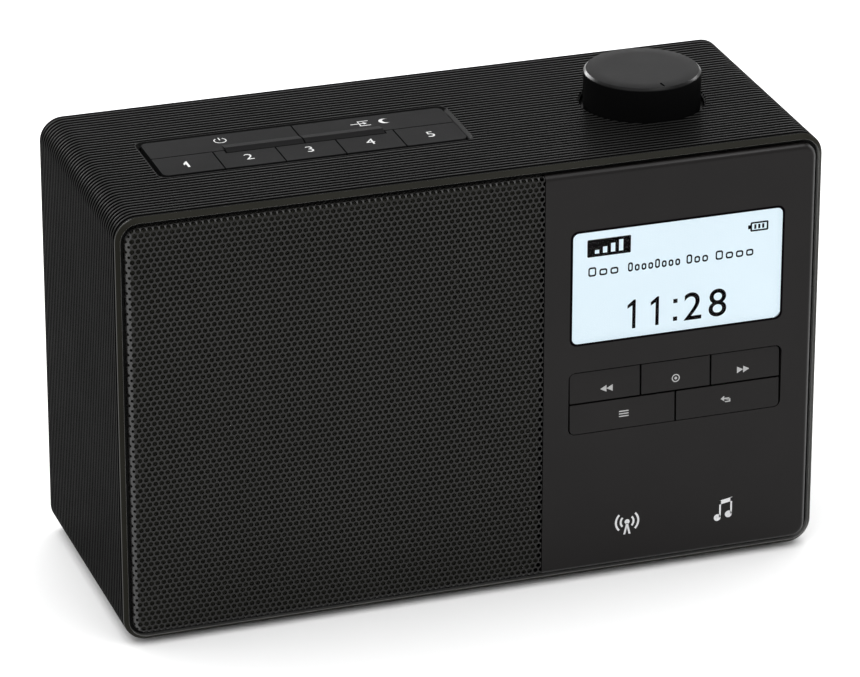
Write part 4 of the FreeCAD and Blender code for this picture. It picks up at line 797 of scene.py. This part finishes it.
def rectangle(x, y, width, height):
    """Closed rectangle about (x, y)."""
    x0, x1, y0, y1 = x - width / 2, x + width / 2, y - height / 2, y + height / 2
    return [(x0, y0), (x1, y0), (x1, y1), (x0, y1)]


def arc_band(x, y, radius, width, start, end, steps=24):
    """Band along part of a circle; angles in degrees."""
    outer, inner = [], []
    for step in range(steps + 1):
        angle = math.radians(start + (end - start) * step / steps)
        outer.append((x + (radius + width / 2) * math.cos(angle),
                      y + (radius + width / 2) * math.sin(angle)))
        inner.append((x + (radius - width / 2) * math.cos(angle),
                      y + (radius - width / 2) * math.sin(angle)))
    return outer + inner[::-1]


def disc(x, y, radius, steps=24):
    """Closed circle."""
    return [(x + radius * math.cos(2 * math.pi * step / steps),
             y + radius * math.sin(2 * math.pi * step / steps)) for step in range(steps)]


def arc_points(x, radius, degrees):
    """Points round (x, 0) at those angles."""
    return [(x + radius * math.cos(math.radians(angle)), radius * math.sin(math.radians(angle)))
            for angle in degrees]


def round_box(width, height, corner, x=0, y=0):
    """Closed round-cornered rectangle about (x, y)."""
    return round_outline(x - width / 2, x + width / 2, y - height / 2, y + height / 2, corner, 6)


def double_arrow(side):
    """Two solid triangles; side is 1 to the right, -1 to the left."""
    tall = 1.2
    arrows = []
    for start in (-1.1, 1.1):
        tail, tip = side * (start - 1.15), side * (start + 1.05)
        arrows.append([(tail, -tall), (tip, 0), (tail, tall)])
    return arrows


def make_front_legends():
    """Plain symbols on the front keys and two at the foot of the panel; all in millimetres."""
    upper_z, lower_z = 69.6, 59.7
    ring = [arc_band(0, 0, 1.25, 0.36, 0, 359.9), disc(0, 0, 0.5)]
    lines = [rectangle(0, step * 0.9, 3.4, 0.38) for step in (-1, 0, 1)]
    hook = [[(-2.0, 0.25), (-0.7, 1.25), (-0.7, 0.45), (1.1, 0.45), (1.1, -0.75), (-0.4, -0.75),
             (-0.4, -1.15), (1.5, -1.15), (1.5, 0.05), (-0.7, 0.05), (-0.7, -0.75)]]
    marks = (
        ("rewind", double_arrow(-1), 45.4, upper_z),
        ("forward", double_arrow(1), 94.1, upper_z),
        ("enter", ring, 70.0, upper_z + 0.2),
        ("menu", lines, 51.6, lower_z),
        ("back", hook, 88.1, lower_z),
    )
    for key, loops, x, z in marks:
        lay(f"{key}_mark", flat_mesh(loops), on_front_key(x, z), f"{key}_button", LEGEND_GREY,
            "panel_plastic")
    waves = [disc(0, 0, 0.9)]
    for radius in (2.3, 4.0):
        waves += [arc_band(0, 0, radius, 0.7, -45, 45), arc_band(0, 0, radius, 0.7, 135, 225)]
    mast = [(-0.3, -0.6), (0.3, -0.6), (1.3, -4.6), (0.6, -4.6), (0, -2.0), (-0.6, -4.6),
            (-1.3, -4.6)]
    lay("broadcast_mark", flat_mesh(waves + [mast]), on_panel(53.4, 19.6), "cabinet",
        LEGEND_WHITE, "panel_plastic")
    heads = (disc(-1.7, -2.9, 1.25), disc(2.3, -2.1, 1.25))
    stems = (rectangle(-0.75, 0.2, 0.6, 6.2), rectangle(3.25, 0.9, 0.6, 6.0))
    beam = [(-1.05, 3.3), (3.55, 4.1), (3.55, 2.6), (-1.05, 1.8)]
    for index, loop in enumerate((heads[0], stems[0], heads[1], stems[1], beam)):
        lay(f"note_mark_{index + 1}", flat_mesh([loop]), on_panel(87.6, 19.0), "cabinet",
            LEGEND_WHITE, "panel_plastic")


def figure_one(height, flag, stroke):
    """A one with a plain slanted flag."""
    top, side, flag_end = height / 2, stroke / 2, -flag - 0.2
    return [[(-side, -top), (side, -top), (side, top), (-0.1, top), (flag_end, top - 1.75),
             (flag_end, top - 3.0), (-side, top - 2.0)]]


def lay_ink(name, mesh, place):
    """Lays a dark mark of the display."""
    lay(name, mesh, place, "cabinet", DISPLAY_INK, "display_light")


def word_rings(start, end, count):
    """Rings in place of a word's letters, between two x values, one in four taller."""
    low_tall, high_tall = 2.4, 3.3
    side_line, end_line = 0.5, 0.6
    pitch = (end - start) / count
    width = pitch * 0.72
    rings = []
    for index in range(count):
        x = start + (index + 0.5) * pitch
        tall = high_tall if index % 4 == 0 else low_tall
        y = (tall - low_tall) / 2
        rings.append(round_box(width, tall, 0.8, x, y))
        rings.append(round_box(width - 2 * side_line, tall - 2 * end_line, 0.4, x, y))
    return rings


def make_display_marks():
    """Everything that the display shows, in millimetres: band, text line, battery and clock."""
    bars = [rectangle(-4.2 + 2.8 * index, -2.0 + tall / 2, 1.5, tall)
            for index, tall in enumerate((1.3, 2.2, 3.1, 4.0))]
    lay_ink("band_mark", flat_mesh([round_box(15.2, 6.2, 0.4)] + bars), on_display(45.9, 120.2))
    words = ((38.2, 49.8, 3), (52.3, 71.3, 8), (72.8, 81.2, 3), (83.0, 97.4, 4))
    line = [ring for word in words for ring in word_rings(*word)]
    lay_ink("text_line_mark", flat_mesh(line), on_display(0, 111.4))
    case = [round_box(6.4, 3.4, 0.5), round_box(5.2, 2.2, 0.2)]
    cells = [rectangle(-1.45 + 1.4 * index, 0, 0.75, 1.6) for index in range(3)]
    cap = [rectangle(-3.6, 0, 0.8, 1.4)]
    lay_ink("battery_mark", flat_mesh(case + cells + cap), on_display(98.8, 120.4))
    clock_z, tall = 94.8, 10.3
    for x in (55.0, 63.2):
        lay_ink(f"clock_1_at_{int(x)}", flat_mesh(figure_one(tall, 2.1, 1.2)),
                on_display(x, clock_z))
    colon = [rectangle(0, 2.65, 1.5, 1.5), rectangle(0, -3.75, 1.5, 1.5)]
    lay_ink("clock_colon_at_69", flat_mesh(colon), on_display(69.6, clock_z))
    for text, x in (("2", 75.8), ("8", 84.6)):
        lay_ink(f"clock_{text}_at_{int(x)}", text_mesh(text, tall, weight=0.06 * MM),
                on_display(x, clock_z))
    left, right, low, high = 32.4, 106.9, 86.8, 127.1
    past, inside = 0.7, 0.9
    border = [round_box(right - left + past, high - low + past, 2.6),
              round_box(right - left - inside, high - low - inside, 2.0)]
    lay_ink("window_border", flat_mesh(border), on_window((left + right) / 2, (low + high) / 2))


def make_top_legends():
    """The presets' figures and the symbols of the power and source keys; in millimetres."""
    tall, first_x, key_pitch, row_y = 4.8, -85.6, 20.8, -9.74
    for index in range(5):
        if index:
            mesh = text_mesh(str(index + 1), tall, weight=-0.04 * MM)
        else:
            mesh = flat_mesh(figure_one(tall, 1.0, 0.75))
        lay(f"preset_figure_{index + 1}", mesh, on_top_key(first_x + key_pitch * index, row_y),
            f"preset_button_{index + 1}", LEGEND_FAINT, "key_plastic")
    power = [arc_band(0, 0, 2.0, 0.32, 122, 418), rectangle(0, 1.45, 0.32, 2.2)]
    lay("power_mark", flat_mesh(power), on_top_key(-69.7, 6.66), "power_button", LEGEND_GREY,
        "key_plastic")
    bracket = [(-4.6, -2.1), (-0.8, -2.1), (-0.8, -1.7), (-4.2, -1.7), (-4.2, 1.7), (-0.8, 1.7),
               (-0.8, 2.1), (-4.6, 2.1)]
    arrow = [(-7.4, 0.2), (-3.0, 0.2), (-3.0, 0.95), (-1.7, 0), (-3.0, -0.95), (-3.0, -0.2),
             (-7.4, -0.2)]
    moon = arc_points(4.4, 2.0, range(50, 311, 13)) + arc_points(5.3, 1.65, range(285, 74, -15))
    for name, loop in (("source_frame_mark", bracket), ("source_arrow_mark", arrow),
                       ("snooze_mark", moon)):
        lay(name, flat_mesh([loop]), on_top_key(-17.5, 6.3), "source_button", LEGEND_FAINT,
            "key_plastic")


# ---------------------------------------------------------------- knob
def notch_cutter(top):
    """Short round-ended slot in the knob's top, a little off square."""
    half_width, near, far = 0.4 * MM, -14.9 * MM, -18.1 * MM
    outline = round_outline(-half_width, half_width, far, near, 0.39 * MM, 5)
    tilt = math.radians(3)
    rings = []
    for z in (top - 0.5 * MM, top + 1 * MM):
        rings.append([(KNOB_X + px * math.cos(tilt) - py * math.sin(tilt),
                       KNOB_Y + px * math.sin(tilt) + py * math.cos(tilt), z)
                      for px, py in outline])
    points, faces = bridge(rings, closed=False)
    count = len(outline)
    faces += [tuple(reversed(range(count))), tuple(range(count, 2 * count))]
    return mesh_from("notch", points, faces)


def make_knob():
    """Hollow cap with a chamfered edge and a boss for the shaft."""
    top, low = KNOB_HIGH.z, KNOB_LOW.z
    radius = (KNOB_HIGH.x - KNOB_LOW.x) / 2
    inside = radius - 2.2 * MM
    roof, bore_end, boss_end = top - 4 * MM, top - 3 * MM, low + 4.9 * MM
    boss, bore = 5 * MM, 3 * MM
    profile = [(0, top), (8 * MM, top), (14 * MM, top), (radius - 1.0 * MM, top),
               (radius - 0.82 * MM, top - 0.05 * MM), (radius - 0.12 * MM, top - 0.75 * MM),
               (radius, top - 1.0 * MM), (radius, low + 0.3 * MM), (radius - 0.3 * MM, low),
               (inside, low), (inside, roof), (boss, roof), (boss, boss_end), (bore, boss_end),
               (bore, bore_end), (0, bore_end)]
    knob = turned_mesh("knob", profile, (KNOB_X, KNOB_Y, 0), steps=160, degrees=25)
    mesh = cut_away(knob, [notch_cutter(top)])
    smooth(mesh, 25)
    mesh.materials.clear()
    for material in (MATERIALS["knob_plastic"], CHAMFER_BLACK, KNOB_TOP_PAINTED_LIGHT):
        mesh.materials.append(material)
    flat_z, chamfer_z = top - 0.03 * MM, top - 0.8 * MM
    # The flat top gets the lighter painted-light colour; the upward chamfer faces get the chamfer
    # black.
    for face in mesh.polygons:
        on_chamfer = chamfer_z < face.center.z < flat_z and face.normal.z > 0.3
        face.material_index = 2 if face.center.z > flat_z else int(on_chamfer)
    add_piece("knob_cap", mesh, "knob", "knob_plastic", None, "volume_knob")


# ---------------------------------------------------------------- frame nodes kept as they are
SOFT_EDGES = {   # width in millimetres, and the frame nodes whose edges have it
    0.06: ["display_window"],
    0.1: ["rewind_key", "enter_key", "forward_key", "menu_key", "back_key", "power_key",
          "source_key", *(f"preset_key_{number}" for number in range(1, 6)),
          "aerial_outer_tube", "aerial_middle_tube", "aerial_inner_tube"],
    0.15: ["amplifier_heatsink"],
    0.18: ["control_panel"],
    0.2: ["aerial_pin", "power_socket", "earphone_socket", "encoder_body"],
    0.25: ["case_screws"],
    0.3: ["rear_cover", "battery_door", "front_baffle", "top_key_tray", "encoder_nut",
          "speaker_basket", "tuner_shield"],
    0.35: ["aerial_swivel"],
    0.4: ["rubber_feet", "speaker_top_plate"],
    0.5: ["board_capacitors", "battery_cells", "speaker_yoke"],
    0.6: ["speaker_magnet"],
    0.8: ["aerial_tip"],
}
# The key tray and the baffle, seen only through gaps, get the near-black painted shade.
NODE_LOOKS = {"rear_cover": REAR_BLACK, "battery_door": REAR_BLACK, "top_key_tray": PAINTED_SHADE_BLACK,
              "front_baffle": PAINTED_SHADE_BLACK, "control_panel": PANEL_WITH_PAINTED_HIGHLIGHTS}


def soften_edges(node, width):
    """Small rounded edges on a frame node, by modifiers only."""
    obj = NODES[node]
    weld = obj.modifiers.new("weld", "WELD")
    weld.merge_threshold = 0.001 * MM
    bevel = obj.modifiers.new("soft_edges", "BEVEL")
    bevel.limit_method = "ANGLE"
    bevel.angle_limit = math.radians(40)
    bevel.width = width * MM
    bevel.segments = 2
    bevel.harden_normals = True


def dress_frame_nodes():
    """Gives each frame node its slot's material, or its own, and soft edges where listed."""
    for node, obj in NODES.items():
        obj.data.materials.clear()
        obj.data.materials.append(NODE_LOOKS.get(node, MATERIALS[SLOTS[node]]))
    for width, nodes in SOFT_EDGES.items():
        for node in nodes:
            soften_edges(node, width)


# ---------------------------------------------------------------- floor, light and camera
def make_stage():
    """Plain pale floor, too large for its edge to be seen."""
    reach = 40
    corners = [(-reach, -reach, 0), (reach, -reach, 0), (reach, reach, 0), (-reach, reach, 0)]
    mesh = mesh_from("floor", corners, [(0, 1, 2, 3)])
    floor = loose_object("floor", mesh)
    material, tree, shader = new_material("pale_floor", (0.9, 0.9, 0.9), 0.9, specular=0.1)
    tint(tree, shader, spread(tree, noise(tree, 3), 0, 1), (0.88, 0.88, 0.88), (0.9, 0.9, 0.9))
    floor.data.materials.append(material)


SOFT_PANELS = (   # name, direction from the radio, distance, size, radiance
    ("back_panel", (0.15, 0.9, 0.42), 1.7, (2.0, 1.1), 7.5),
    ("back_left", (-0.4, 0.87, 0.28), 1.6, (0.7, 0.8), 22.0),
    ("front_top", (0.29, -0.4, 0.87), 1.3, (0.5, 0.3), 6.0),
    ("right_back", (0.86, 0.3, 0.4), 1.6, (0.4, 0.4), 20.0),
)
RADIO_MIDDLE = Vector((0, 0, 0.08))


def add_soft_panel(name, direction, distance, size, radiance, only_reflected=True):
    """Light panel facing the radio, unseen by the camera; only_reflected, it shows in gloss."""
    light = bpy.data.lights.new(name, "AREA")
    light.shape = "RECTANGLE"
    light.size, light.size_y = size
    light.energy = radiance * math.pi * size[0] * size[1]
    obj = loose_object(name, light)
    way = Vector(direction).normalized()
    obj.location = RADIO_MIDDLE + way * distance
    obj.rotation_euler = way.to_track_quat("Z", "Y").to_euler()
    obj.visible_camera = False
    obj.visible_diffuse = not only_reflected


def make_light():
    """White background for the camera, an even grey dome, one main light and the panels."""
    dome, white = (0.85, 0.85, 0.85, 1), (1, 1, 1, 1)
    world = bpy.data.worlds.new("studio")
    bpy.context.scene.world = world
    world.use_nodes = True
    tree = world.node_tree
    background = tree.nodes["Background"]
    background.inputs["Strength"].default_value = 1.0
    seen = tree.nodes.new("ShaderNodeLightPath")
    shade = mix_colours(tree, seen.outputs["Is Camera Ray"], dome, white)
    tree.links.new(shade, background.inputs["Color"])
    add_soft_panel("overhead", (0, 0.1, 1), 1.6, (2.6, 3.2), 1.95, only_reflected=False)
    for panel in SOFT_PANELS:
        add_soft_panel(*panel)


def make_camera():
    """Long lens, high on the left, solved from the cabinet's edges."""
    camera = bpy.data.cameras.new("camera")
    camera.sensor_width = 36
    camera.lens = 221.6
    camera.shift_x, camera.shift_y = 0.0143, -0.0402
    camera.clip_start, camera.clip_end = 0.05, 100
    obj = loose_object("camera", camera)
    obj.location = (-0.5217, -1.5415, 0.7958)
    forward, up = Vector((0.292, 0.8687, -0.4)), Vector((0.1269, 0.3794, 0.9165))
    right = forward.cross(up).normalized()
    up = right.cross(forward).normalized()
    turn = Matrix((right, up, -forward.normalized())).transposed()
    obj.rotation_euler = turn.to_euler()
    bpy.context.scene.camera = obj


dress_frame_nodes()
make_key_surround()
make_sleeve()
make_rim()
make_knob_well()
make_bosses()
make_grille()
make_knob()
make_front_legends()
make_display_marks()
make_top_legends()
make_stage()
make_light()
make_camera()
bpy.context.scene.view_settings.view_transform = "Standard"
